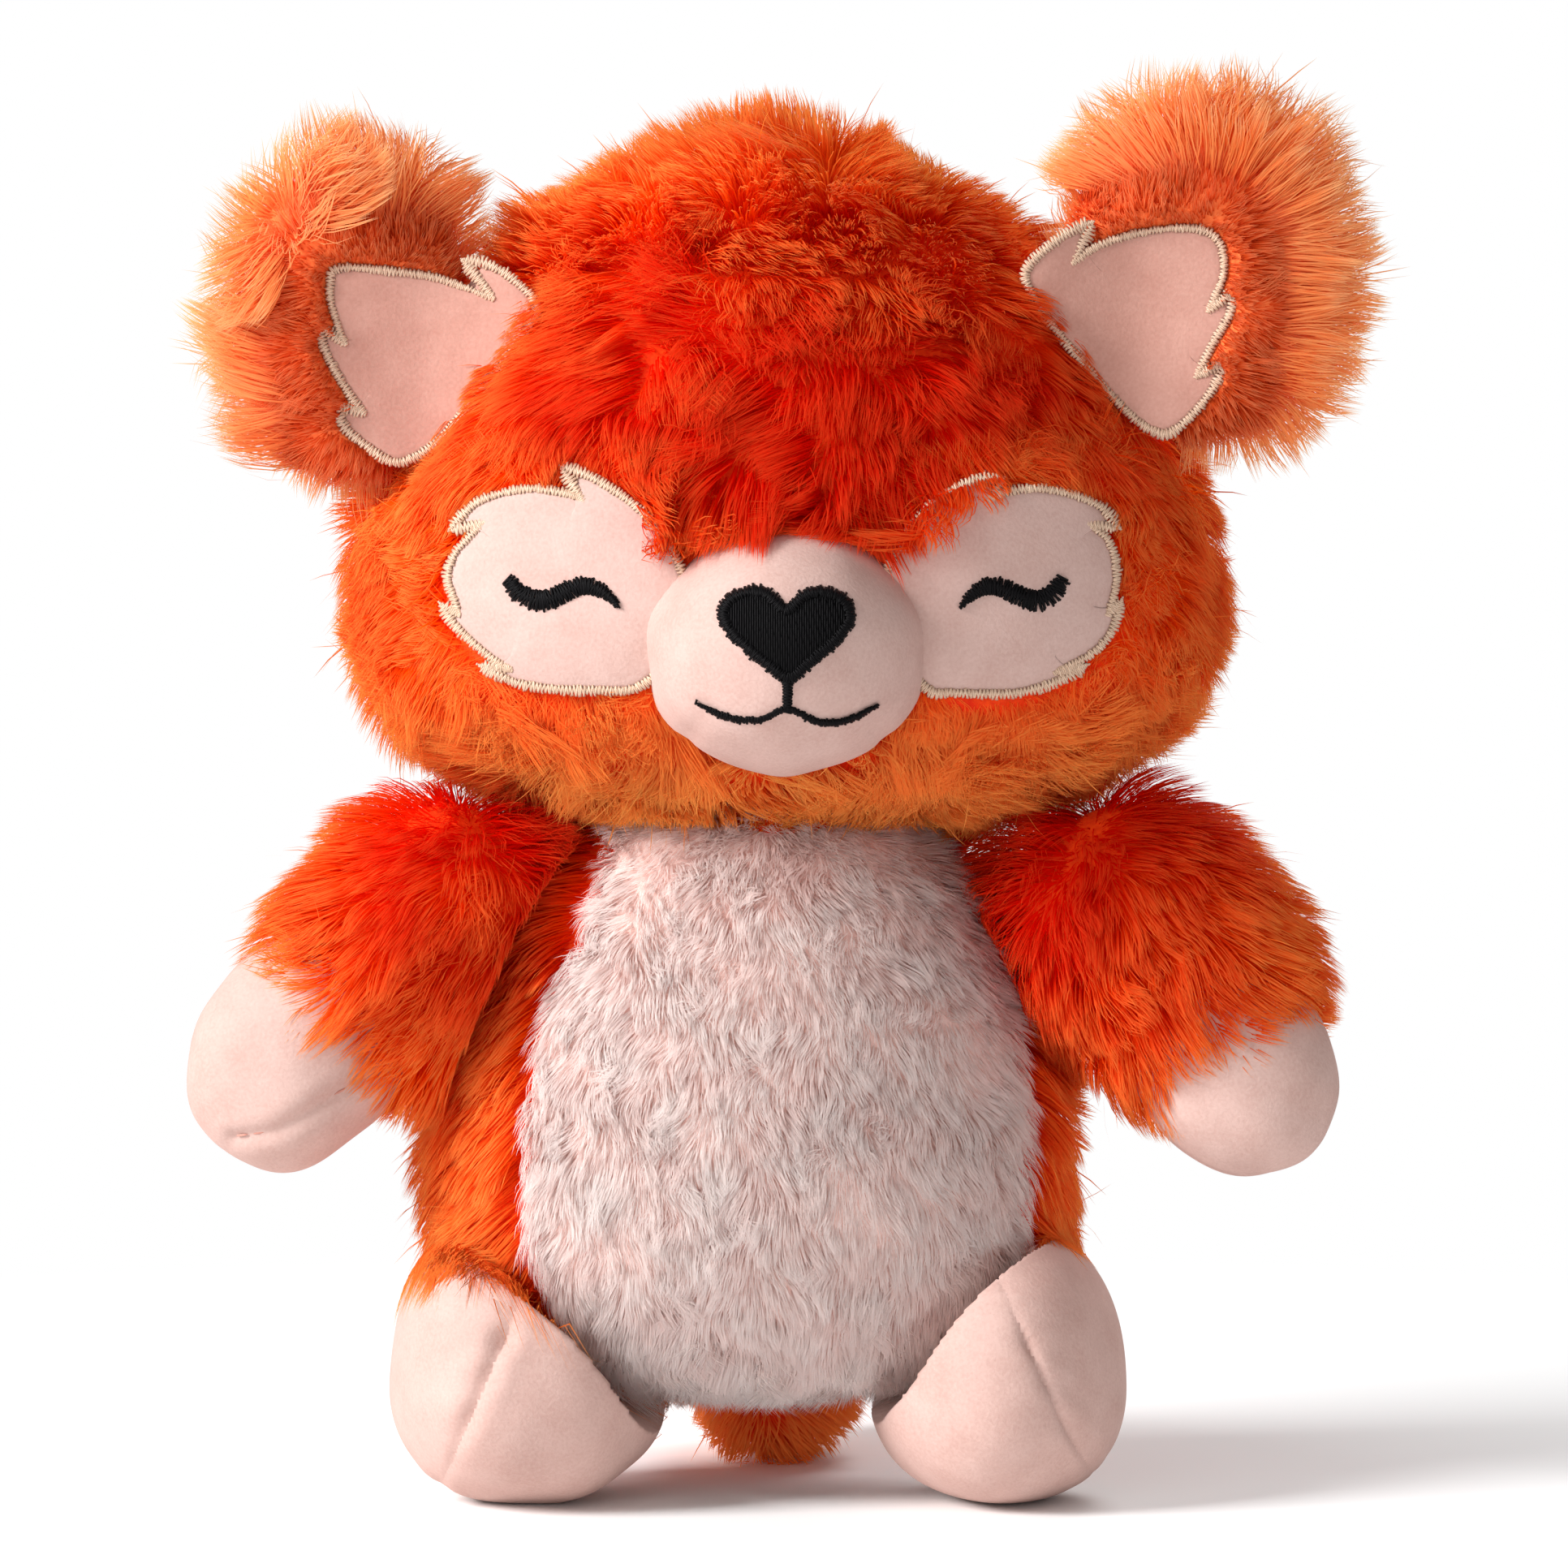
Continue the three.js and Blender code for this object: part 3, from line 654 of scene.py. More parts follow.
class Cloth(Enum):
    """The finishes, by the cloth or thread that they are; the ear velour is the pink velour darkened with painted
    shade.
    """

    # Pile colours run root, deep, bright, tip; the pale tip colour is partly painted light.
    ORANGE_PILE = PileFinish("orange_pile", linear(246, 30, 0), linear(238, 14, 0), linear(255, 100, 6),
                             linear(255, 180, 94))
    EAR_PILE = PileFinish("ear_pile", linear(244, 66, 6), linear(255, 70, 6), linear(255, 146, 52),
                          linear(255, 220, 166))
    NAP_PILE = PileFinish("nap_pile", linear(196, 50, 12), linear(226, 76, 24), linear(242, 112, 50),
                          linear(255, 186, 130), specular=0.2)
    BELLY_PILE = PileFinish("belly_pile", linear(252, 222, 214), linear(255, 236, 231), linear(255, 244, 240),
                            linear(255, 251, 249), patch=9.0)
    ORANGE_CLOTH = NapFinish("orange_cloth", linear(255, 84, 14), linear(222, 40, 2), grain=1.2, depth=0.5)
    NAP_CLOTH = NapFinish("nap_cloth", linear(244, 124, 66), linear(220, 88, 40), grain=0.8, depth=0.3)
    BELLY_CLOTH = NapFinish("belly_cloth", linear(248, 220, 212), linear(226, 188, 180), grain=1.0, depth=0.4)
    VELOUR = NapFinish("pink_velour", linear(207, 175, 166), linear(192, 156, 146), grain=0.7,
                       bump=0.6, depth=0.18, sheen=0.22)
    # Pink velour made darker and pinker: painted shade of the ear's hollow.
    EAR_VELOUR_PAINTED_SHADE = NapFinish("ear_velour_painted_shade", linear(200, 152, 138), linear(184, 134, 120), grain=0.7,
                           bump=0.6, depth=0.18, sheen=0.18)
    # Thread colours: the lighter one is the painted highlight on each stitch's crest, the darker the painted shade
    # where it dips.
    BEIGE_THREAD = ThreadFinish("beige_thread", linear(224, 194, 168), linear(158, 116, 88), 0.36, specular=0.5)
    BLACK_THREAD = ThreadFinish("black_thread", linear(13, 11, 13), linear(2, 2, 3), 0.55, specular=0.1, sheen=0.0)
    SEAM_THREAD = ThreadFinish("seam_thread", linear(212, 150, 134), linear(176, 116, 102))
    FIBRE = NapFinish("filling_fibre", linear(250, 249, 246), linear(222, 219, 212), grain=1.6, depth=0.8)
    PLASTIC = PlasticFinish("squeaker_plastic", linear(238, 236, 228), linear(214, 210, 200))


SLOTS = {finish: slot for slot, finishes in {
    "orange_plush": (Cloth.ORANGE_PILE, Cloth.EAR_PILE, Cloth.ORANGE_CLOTH),
    "orange_nap": (Cloth.NAP_PILE, Cloth.NAP_CLOTH),
    "belly_plush": (Cloth.BELLY_PILE, Cloth.BELLY_CLOTH),
    "pink_velour": (Cloth.VELOUR, Cloth.EAR_VELOUR_PAINTED_SHADE),
    "beige_thread": (Cloth.BEIGE_THREAD, Cloth.SEAM_THREAD),
    "black_thread": (Cloth.BLACK_THREAD,),
    "filling": (Cloth.FIBRE,)}.items() for finish in finishes}


class Wardrobe:
    """Makes each finish once, when it is first asked for."""

    def __init__(self) -> None:
        """Starts empty."""
        self.effects = Effects()
        self.made: dict[Cloth, bpy.types.Material] = {}

    def __getitem__(self, cloth: Cloth) -> bpy.types.Material:
        """Returns the material of a finish."""
        if cloth not in self.made:
            self.made[cloth] = cloth.value.build(self.effects)
        return self.made[cloth]


# Pile

BLADE_WIDTHS = {3: (1.0, 0.9, 0.6), 4: (1.0, 1.0, 0.9, 0.7)}


@dataclass(frozen=True)
class Pile:
    """How one kind of pile grows; lengths in millimetres, angles in degrees."""

    length: float
    density: float
    width: float = 0.3
    root_lift: float = 68.0
    tip_lift: float = 18.0
    tuft: float = 9.0
    lock: float = 2.6
    gather: float = 0.55
    tousle: float = 0.55
    swirl: float = 26.0
    segments: int = 4
    sink: float = 1.0
    stray: float = 0.01
    soft: float = 0.62


def nearest(points: Array, centres: Array, cell: float = 0.5) -> Array:
    """Returns the index of the nearest centre to each point, all points of a small cell together."""
    tree = kdtree.KDTree(len(centres))
    for i, centre in enumerate(centres):
        tree.insert(centre, i)
    tree.balance()
    cells, member = np.unique(np.round(points / cell).astype(int), axis=0, return_inverse=True)
    return np.array([tree.find(c)[1] for c in cells * cell])[member.ravel()]


@dataclass
class Strands:
    """Strands grown from a surface."""

    pile: Pile
    roots: Array
    normals: Array
    comb: Array
    seed: int
    scale: Array
    upright: Array
    depth: Array
    held: Array = field(init=False)

    def _curves(self, length: Array) -> Array:
        """Returns the points along the strands."""
        pile, normal = self.pile, self.normals
        points = [self.roots - normal * pile.sink]
        step = (length / pile.segments)[:, None]
        for k in range(pile.segments):
            share = (k + 0.5) / pile.segments
            lift = np.radians(pile.root_lift + (pile.tip_lift - pile.root_lift) * share ** 0.8 + self.upright)
            way = np.cos(lift)[:, None] * self.comb + np.sin(lift)[:, None] * normal
            points.append(points[-1] + way * step)
        return np.stack(points, axis=1)

    def _gathered(self, curves: Array, rng: np.random.Generator) -> tuple[Array, Array]:
        """Draws the strands together in locks, and the locks in tufts; returns them and a tone a tuft."""
        pile = self.pile
        share = np.linspace(0, 1, pile.segments + 1)[None, :, None]
        tone = rng.random(len(curves)) * 0.35
        for spacing, hold, weight in ((pile.lock, pile.gather, 0.25), (pile.tuft, pile.gather * 0.55, 0.4)):
            area = len(self.roots) / pile.density
            count = max(int(area / spacing ** 2), 1)
            chosen = rng.choice(len(self.roots), min(count, len(self.roots)), replace=False)
            own = nearest(self.roots, self.roots[chosen], spacing / 3.2)
            lead = curves[chosen][own]
            strength = hold * (0.6 + 0.4 * rng.random(len(chosen)))[own] * self.held
            curves = curves + (lead - curves) * strength[:, None, None] * share ** 1.6
            tone += rng.random(len(chosen))[own] * weight
        return curves, np.clip(tone, 0, 1)

    def piece(self, name: str, material: bpy.types.Material, limit: Field,
              lead: Optional[Field] = None) -> bpy.types.Object:
        """Makes the strands as tapering blades.

        Args:
            name: the piece's name.
            material: its finish.
            limit: moves points that may not be where they are.
            lead: draws whole strands where they are trained to lie.
        Returns:
            The piece.
        """
        rng = np.random.default_rng(self.seed)
        pile, count = self.pile, len(self.roots)
        swirl = wander(self.roots, pile.swirl, self.seed + 1)
        swirl = swirl + 0.6 * wander(self.roots, pile.swirl / 3, self.seed + 2)
        comb = self.comb + pile.tousle * swirl + 0.18 * rng.normal(size=(count, 3))
        self.comb = unit(comb - (comb * self.normals).sum(axis=1, keepdims=True) * self.normals)
        patchy = 1 + 0.16 * wander(self.roots, pile.tuft * 1.5, self.seed + 3)[:, 0]
        length = pile.length * self.scale * rng.uniform(0.78, 1.1, count) * patchy
        stray = rng.random(count) < pile.stray
        length = np.where(stray, length * 1.08, length)
        self.upright = self.upright + 18 * stray
        self.held = np.where(stray, 0.15, 1.0)
        curves, tone = self._gathered(self._curves(length), rng)
        if lead:
            curves = lead(curves)
        curves = limit(curves.reshape(-1, 3)).reshape(curves.shape)
        return self._blades(name, material, curves, tone, rng)

    def _blades(self, name: str, material: bpy.types.Material, curves: Array, tone: Array,
                rng: np.random.Generator) -> bpy.types.Object:
        """Returns the piece of flat blades along the curves."""
        pile, (count, rows, _) = self.pile, curves.shape
        way = unit(np.gradient(curves, axis=1))
        roll = rng.normal(0, 0.55, count)[:, None, None]
        normal = np.repeat(self.normals[:, None, :], rows, axis=1)
        across = unit(np.cross(way, normal))
        face = unit(np.cross(across, way))
        across, face = (across * np.cos(roll) + face * np.sin(roll),
                        face * np.cos(roll) - across * np.sin(roll))
        share = np.linspace(0, 1, rows)
        width = pile.width * np.array(BLADE_WIDTHS[rows - 1])
        side = across[:, :-1] * (width * 0.5)[None, :, None] * rng.uniform(0.75, 1.3, count)[:, None, None]
        pairs = np.stack([curves[:, :-1] - side, curves[:, :-1] + side], axis=2).reshape(count, -1, 3)
        corners = np.concatenate([pairs, curves[:, -1:]], axis=1)
        per = corners.shape[1]
        base = (np.arange(count) * per)[:, None]
        quads = [base + np.array([2 * k, 2 * k + 1, 2 * k + 3, 2 * k + 2]) for k in range(rows - 2)]
        last = base + np.array([2 * rows - 4, 2 * rows - 3, 2 * rows - 2])
        loops = np.concatenate([*quads, last], axis=1).ravel()
        starts = (np.arange(count) * (4 * (rows - 2) + 3))[:, None] + 4 * np.arange(rows - 1)
        mesh = bpy.data.meshes.new(name)
        mesh.vertices.add(count * per)
        mesh.vertices.foreach_set("co", to_frame(corners.reshape(-1, 3)).ravel().astype(np.float32))
        mesh.loops.add(len(loops))
        mesh.loops.foreach_set("vertex_index", loops.astype(np.int32))
        mesh.polygons.add(count * (rows - 1))
        mesh.polygons.foreach_set("loop_start", starts.ravel().astype(np.int32))
        mesh.update(calc_edges=True)
        spread = np.concatenate([np.repeat(share[:-1], 2), [1.0]])
        set_attribute(mesh, "along", np.tile(spread, count))
        set_attribute(mesh, "tuft", np.repeat(tone, per))
        set_attribute(mesh, "depth", np.repeat(self.depth, per))
        soft = unit(pile.soft * normal + (1 - pile.soft) * face)
        soft = np.concatenate([np.repeat(soft[:, :-1], 2, axis=1), soft[:, -1:]], axis=1).reshape(-1, 3)
        shade = mesh.attributes.new("custom_normal", "FLOAT_VECTOR", "POINT")
        shade.data.foreach_set("vector", soft.ravel().astype(np.float32))
        log.info("%s: %d strands", name, count)
        mesh.materials.append(material)
        return new_object(name, mesh)


def combed_along(*way: float) -> Field:
    """Returns the field that flows one way."""
    return lambda points: np.broadcast_to(unit(np.array(way, float)), points.shape)


def brushed_from(outlines: Sequence[Array], fall: float) -> Field:
    """Returns the field that flows straight away from the nearest outline, and falls a little."""
    edge = np.vstack([outline[::4] for outline in outlines])
    flat_edge = np.column_stack([edge, np.zeros(len(edge))])

    def flow(points: Array) -> Array:
        """Returns the way of the pile at points."""
        flat = points[:, [0, 2]]
        away = unit(flat - edge[nearest(np.column_stack([flat, np.zeros(len(flat))]), flat_edge)])
        below = np.any([inside_outline(flat, outline[::4]) for outline in outlines], axis=0)
        away[below] *= -1
        return unit(np.stack([away[:, 0], np.full(len(flat), -0.05), away[:, 1] - fall], axis=1))
    return flow


# Embroidery and flat cloth

@dataclass(frozen=True)
class Satin:
    """A line of satin stitch: threads side by side across the line; millimetres."""

    width: float = 1.8
    height: float = 0.5
    pitch: float = 0.36
    thread: float = 0.46
    uneven: float = 0.13
    slant: float = 0.18

    def build(self, line: Array, lay: Lay, closed: bool = False, widths: Optional[Array] = None,
              seed: int = 1) -> Stitches:
        """Works out one line of stitches.

        Args:
            line: the middle of the line, seen from the front, with a point for each thread.
            lay: puts points seen from the front on the form.
            closed: whether the line ends where it begins.
            widths: the share of the width at each thread.
            seed: which uneven stitches.
        Returns:
            Points, faces and the share of painted highlight at each point, most on each stitch's crest.
        """
        rng = np.random.default_rng(seed)
        count = len(line)
        share = np.ones(count) if widths is None else widths
        ahead, behind = np.roll(line, -1, axis=0), np.roll(line, 1, axis=0)
        if not closed:
            ahead[-1], behind[0] = line[-1], line[0]
        way = unit(ahead - behind)
        lean = self.slant * np.where(np.arange(count) % 2, 1, -1) + rng.normal(0, 0.09, count)
        across = np.stack([-way[:, 1], way[:, 0]], axis=1) + way * lean[:, None]
        half = np.maximum((self.width / 2 * share)[:, None] + rng.normal(0, self.uneven, (count, 2)), 0.12)
        along = np.array([-1.0, -0.7, 0.0, 0.7, 1.0])
        rise = np.array([-0.5, 0.7, 1.0, 0.7, -0.5])
        reach = np.where(along < 0, half[:, :1], half[:, 1:]) * along
        middle = line[:, None, :] + across[:, None, :] * reach[..., None]
        lift = rise * (self.height * (0.6 + 0.4 * np.minimum(share, 1)))[:, None]
        lift = lift + rng.uniform(0, 0.14, (count, 1))
        rows = [lay((middle + way[:, None, :] * (side * self.thread)).reshape(-1, 2),
                    (lift + up * self.thread).ravel())
                for side, up in ((-0.5, 0.0), (0.0, 0.4), (0.5, 0.0), (0.0, -0.4))]
        points = np.stack(rows, axis=1).reshape(-1, 3)
        one = [(r * 4 + k, r * 4 + (k + 1) % 4, r * 4 + 4 + (k + 1) % 4, r * 4 + 4 + k)
               for r in range(4) for k in range(4)]
        one += [(3, 2, 1, 0), (16, 17, 18, 19)]
        faces = [tuple(i * 20 + k for k in face) for i in range(count) for face in one]
        # Painted highlight: full on each stitch's crest, a quarter where it dips into the cloth, varied at random
        # from stitch to stitch.
        tone = rng.uniform(0.55, 1.0, (count, 1)) * np.array([0.25, 0.8, 1.0, 0.8, 0.25])
        return points, faces, np.repeat(tone.ravel(), 4)


def stitched(name: str, parts: Sequence[Stitches], material: bpy.types.Material) -> bpy.types.Object:
    """Returns one piece from several lines of stitches."""
    points, faces, stitch, offset = [], [], [], 0
    for p, f, s in parts:
        points.append(p)
        faces += [tuple(i + offset for i in face) for face in f]
        stitch.append(s)
        offset += len(p)
    made = surface(name, np.vstack(points), faces, material)
    # The painted-highlight share that the thread finish reads.
    set_attribute(made.data, "stitch", np.concatenate(stitch))
    return made


@dataclass(frozen=True)
class Edging:
    """A stitched edge drawn as fur: runs of satin that end in pointed tufts."""

    tips: tuple[Point, ...]
    inners: tuple[Point, ...]
    runs: tuple[tuple[Point, ...], ...]
    satin: Satin = Satin()

    def _line(self, points: Sequence[Point], lay: Lay, whole: float, seed: int) -> Stitches:
        """Returns one run, which widens to a tuft and is pointed where it ends in a tip."""
        line = curve_through(points, self.satin.pitch, closed=False)
        run = np.arange(len(line)) * self.satin.pitch
        widths = whole * (1 + 0.16 * wander(np.column_stack([line, line[:, 0] * 0]), 9, seed)[:, 0])
        for end, away in ((points[0], run), (points[-1], run[::-1])):
            if end in self.tips:
                widths *= (0.12 + 1.3 * smooth_step(away, -0.3, 2.6)) * (1 - 0.26 * smooth_step(away, 2.6, 9))
            else:
                widths *= 0.6 + 0.4 * smooth_step(away, -0.3, 1.5)
        return self.satin.build(line, lay, widths=widths, seed=seed)

    @property
    def outline(self) -> Array:
        """Returns the smooth closed line that the runs follow, without the tufts."""
        drawn_in = {tip: (tip[0] * 0.5 + inner[0] * 0.5, tip[1] * 0.5 + inner[1] * 0.5)
                    for tip, inner in zip(self.tips, self.inners)}
        corners = [drawn_in.get(point, point) for run in self.runs for point in run]
        kept = [a for a, b in zip(corners, corners[1:] + corners[:1]) if math.dist(a, b) > 1.0]
        return curve_through(kept, 0.6, closed=True)

    def build(self, lay: Lay) -> list[Stitches]:
        """Works out the edge.

        Args:
            lay: puts points seen from the front on the form.
        Returns:
            Points, faces and painted-highlight shares of each run and each tuft's short leg.
        """
        parts = [self._line(run, lay, 1.0, i) for i, run in enumerate(self.runs)]
        for i, (inner, tip) in enumerate(zip(self.inners, self.tips)):
            middle = ((inner[0] + tip[0]) / 2, (inner[1] + tip[1]) / 2)
            parts.append(self._line((inner, middle, tip), lay, 0.95, 20 + i))
        return parts


def pad_mesh(outline: Array, lay: Lay, rise: Field,
             skirt: float, rings: int = 16, inward: float = 0.0) -> tuple[Array, Faces]:
    """A flat padded shape laid on a form.

    Args:
        outline: its edge, seen from the front.
        lay: puts points seen from the front on the form.
        rise: the height over the form for shares from 0 at the middle to 1 at the edge.
        skirt: how far its edge goes below the form.
        rings: how many rings of faces it has.
        inward: how far the foot of the skirt is drawn in.
    Returns:
        Points and faces of a closed mesh.
    """
    middle = outline.mean(axis=0)
    count = len(outline)
    rounder = rounded(outline, count // 5)
    rows = [lay(middle[None, :], rise(np.zeros(1)))]
    for ring in range(1, rings + 1):
        share = (ring / rings) ** 0.8
        edge = rounder + (outline - rounder) * share ** 6
        flat = middle + (edge - middle) * share
        rows.append(lay(flat, rise(np.full(count, share))))
    inner = middle + (outline - middle) * (1 - inward / max(np.ptp(outline[:, 0]) / 2, 1))
    rows.append(lay(inner, np.full(count, -skirt)))
    rows.append(lay(middle[None, :], np.full(1, -skirt)))
    points = np.vstack(rows)
    faces: Faces = []
    for j in range(count):
        k = (j + 1) % count
        faces.append((0, 1 + j, 1 + k))
        for ring in range(rings):
            low, high = 1 + ring * count, 1 + (ring + 1) * count
            faces.append((low + j, high + j, high + k, low + k))
        faces.append((1 + rings * count + j, len(points) - 1, 1 + rings * count + k))
    return points, faces


def rounded(outline: Array, width: int) -> Array:
    """Returns a closed outline with its corners and notches evened out over so many points."""
    weights = np.hanning(width + 2)[1:-1]
    near = np.stack([np.roll(outline, i - width // 2, axis=0) for i in range(width)])
    return np.tensordot(weights / weights.sum(), near, axes=1)


def shares_to_outline(shares: Sequence[Sequence[float]], x: float, z: float, half_width: float,
                      half_height: float, side: int, step: float = 0.6) -> Array:
    """Returns a smooth closed outline from shares of half sizes; side 1 mirrors it."""
    points = [(x - side * across * half_width, z + up * half_height) for across, up in shares]
    return curve_through(points, step, closed=True)


# The toy's own forms

PILE_HEIGHT = 6.5
STUFFING_DEPTH = 10.5

# How far the joints turn, in degrees

HEAD_NOD = (-10, 8)
EAR_FOLD = (-12, 25)
ARM_SWING = (-10, 35)
LEG_SWING = (-15, 35)
TAIL_WAG = (-25, 25)

# Places and sizes, in millimetres

HEAD = Egg(0, 0, 176, 86, 60, 90, 45, 2.0, 2.5)
BODY = Egg(-7, 0, 62, 66, 50, 88, 43, 2.0, 2.5)
MUZZLE = Egg(0.3, -52, 170, 27, 30, 22, 25, 2.2, 2.1)
LEFT_FOOT = Egg(-49.5, -13, 25, 27.5, 33, 32, 25.5, 2.3, 2.2)
RIGHT_FOOT = Egg(41.5, -13, 23.5, 25, 33, 31, 24, 2.3, 2.2)
LEFT_HIP = (-45, 4, 40)
RIGHT_HIP = (38, 4, 40)

BELLY_SHARES = [(-0.6, 1), (-0.72, 0.72), (-0.88, 0.44), (-1, 0), (-0.97, -0.42), (-0.82, -0.68), (-0.46, -0.88),
                (0, -0.97), (0.44, -0.88), (0.8, -0.68), (0.96, -0.42), (1, 0), (0.93, 0.38), (0.84, 0.72),
                (0.72, 1), (0, 1.25)]
HEART_SHARES = [(0, 0.58), (0.3, 0.93), (0.64, 0.98), (0.92, 0.76), (1, 0.38), (0.8, -0.08), (0.4, -0.6),
                (0.04, -1), (-0.36, -0.6), (-0.78, -0.08), (-1, 0.38), (-0.92, 0.78), (-0.62, 1), (-0.3, 0.94)]
SMILE_SHARES = [(-1, 0.8), (-0.66, -0.2), (-0.3, -0.35), (0, 0.45), (0.36, -0.55), (0.67, -0.4), (1, 0.6)]


def seam_axis(lean: float, side: int) -> Place:
    """Returns the axis of a side seam; a positive turn brings the piece forward."""
    a = math.radians(lean)
    return math.sin(a), 0.0, -side * math.cos(a)


def above_floor(points: Array) -> Array:
    """Keeps points off the floor."""
    made = points.copy()
    made[:, 2] = np.maximum(made[:, 2], 0.3)
    return made


def push_out(points: Array, form: Egg) -> Array:
    """Moves points that are inside a form out to its surface."""
    level = form.level(points)
    inside = level < 1
    made = points.copy()
    made[inside] = form.centre + (made[inside] - form.centre) / np.maximum(level[inside], 0.1)[:, None]
    return made


@dataclass
class Piece:
    """What every sub-assembly shares: its name, its body and the finishes."""

    wardrobe: Wardrobe
    body: str

    def place(self, made: bpy.types.Object, finish: Cloth, *nodes: str, fill: Optional[float] = None) -> None:
        """Puts a piece on its body.

        Args:
            made: the piece.
            finish: its finish, which must have a slot in SLOTS; it is only looked up there.
            nodes: the frame's nodes that it stands for.
            fill: not used.
        """
        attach(made, self.body)
        SLOTS[finish]
        if nodes:
            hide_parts(*nodes)
        log.info("placed %s on %s", made.name, self.body)

    def make(self, name: str, points: Array, faces: Faces, finish: Cloth, *nodes: str,
             fill: Optional[float] = None) -> None:
        """Makes a piece from points and faces, and places it."""
        self.place(surface(name, points, faces, self.wardrobe[finish]), finish, *nodes, fill=fill)

    def stitch(self, name: str, parts: Sequence[Stitches], finish: Cloth, *nodes: str) -> None:
        """Makes a piece from lines of stitches, and places it."""
        self.place(stitched(name, parts, self.wardrobe[finish]), finish, *nodes)

    def cover(self, name: str, form: Egg, node: str, swings: Sequence[Swing] = (),
              hidden: Optional[Field] = None, fill: float = 0.8, sides: int = 64, rings: int = 40,
              lump: float = 0.8, seed: int = 1, swell: Optional[Field] = None) -> None:
        """Makes a stuffed cover, the cloth that the orange pile grows on.

        Args:
            name: the piece's name.
            form: its shape.
            node: the frame's node that it stands for.
            swings: what it stays clear of.
            hidden: says which points lie sewn inside a neighbour and are left open.
            fill: how tightly it is stuffed.
            sides: faces round it.
            rings: faces from end to end.
            lump: how far the filling pushes it in and out.
            seed: which lumps.
            swell: how far it stands out at each point.
        """
        points, faces = form.grid(sides, rings)
        out = wander(points, 22, seed)[:, 0] * lump + (swell(points) if swell else 0)
        points = points + form.normal(points) * out[:, None]
        points = above_floor(pull_clear(points, form.centre, swings))
        if hidden:
            gone = hidden(points)
            points, faces = only(points, [f for f in faces if not all(gone[i] for i in f)])
        self.make(name, points, faces, Cloth.ORANGE_CLOTH, node, fill=fill)

    def fur(self, name: str, form: Egg, pile: Pile, finish: Cloth, comb: Field, seed: int, keep: Field,
            scale: Field = even(1.0), upright: Field = even(0.0), depth: Field = even(0.0),
            limit: Field = above_floor, shift: Optional[Field] = None, lead: Optional[Field] = None,
            most: int = 27000) -> None:
        """Grows pile on a form, in as many pieces as it takes.

        Args:
            name: the pieces' name, which gets a number.
            form: what the pile grows on.
            pile: how it grows.
            finish: its dye.
            comb: which way it is brushed.
            seed: which strands.
            keep: says which roots stay.
            scale: the share of the full length at each root.
            upright: degrees that strands stand up more at each root.
            depth: how red the pile is at each root.
            limit: moves points that may not be where they are.
            shift: how far each root is moved, where its cloth isn't on the form.
            lead: draws whole strands where they are trained to lie.
            most: the most strands in one piece.
        """
        rng = np.random.default_rng(seed)
        roots = form.sample(pile.density, rng)
        normals = form.normal(roots)
        kept = keep(roots)
        roots, normals = roots[kept], normals[kept]
        if shift:
            roots = roots + shift(roots)
        order = np.lexsort((roots[:, 0], np.floor(roots[:, 2] / 24)))
        roots, normals = roots[order], normals[order]
        pieces = max(math.ceil(len(roots) / most), 1)
        for part, pick in enumerate(np.array_split(np.arange(len(roots)), pieces)):
            at = roots[pick]
            strands = Strands(pile, at, normals[pick], comb(at), seed, scale(at), upright(at), depth(at))
            made = strands.piece(f"{name}_{part + 1}", self.wardrobe[finish], limit, lead)
            self.place(made, finish)

    def filling(self, name: str, form: Egg, node: str, swings: Sequence[Swing] = (), seed: int = 3) -> None:
        """Packs loose fibre in a form, in place of the frame's node."""
        points, faces = form.grid(40, 24)
        lumps = wander(points, 16, seed)[:, :1] + 0.6 * wander(points, 6, seed + 1)[:, :1]
        points = points + form.normal(points) * (lumps * 0.9 - 1.4)
        points = above_floor(pull_clear(points, form.centre, swings))
        self.make(name, points, faces, Cloth.FIBRE, node)


# Sub-assemblies

class Sided:
    """A piece that comes in pairs; side -1 is the viewer's left."""

    side: int

    @property
    def label(self) -> str:
        """Returns the side's name."""
        return "left" if self.side < 0 else "right"


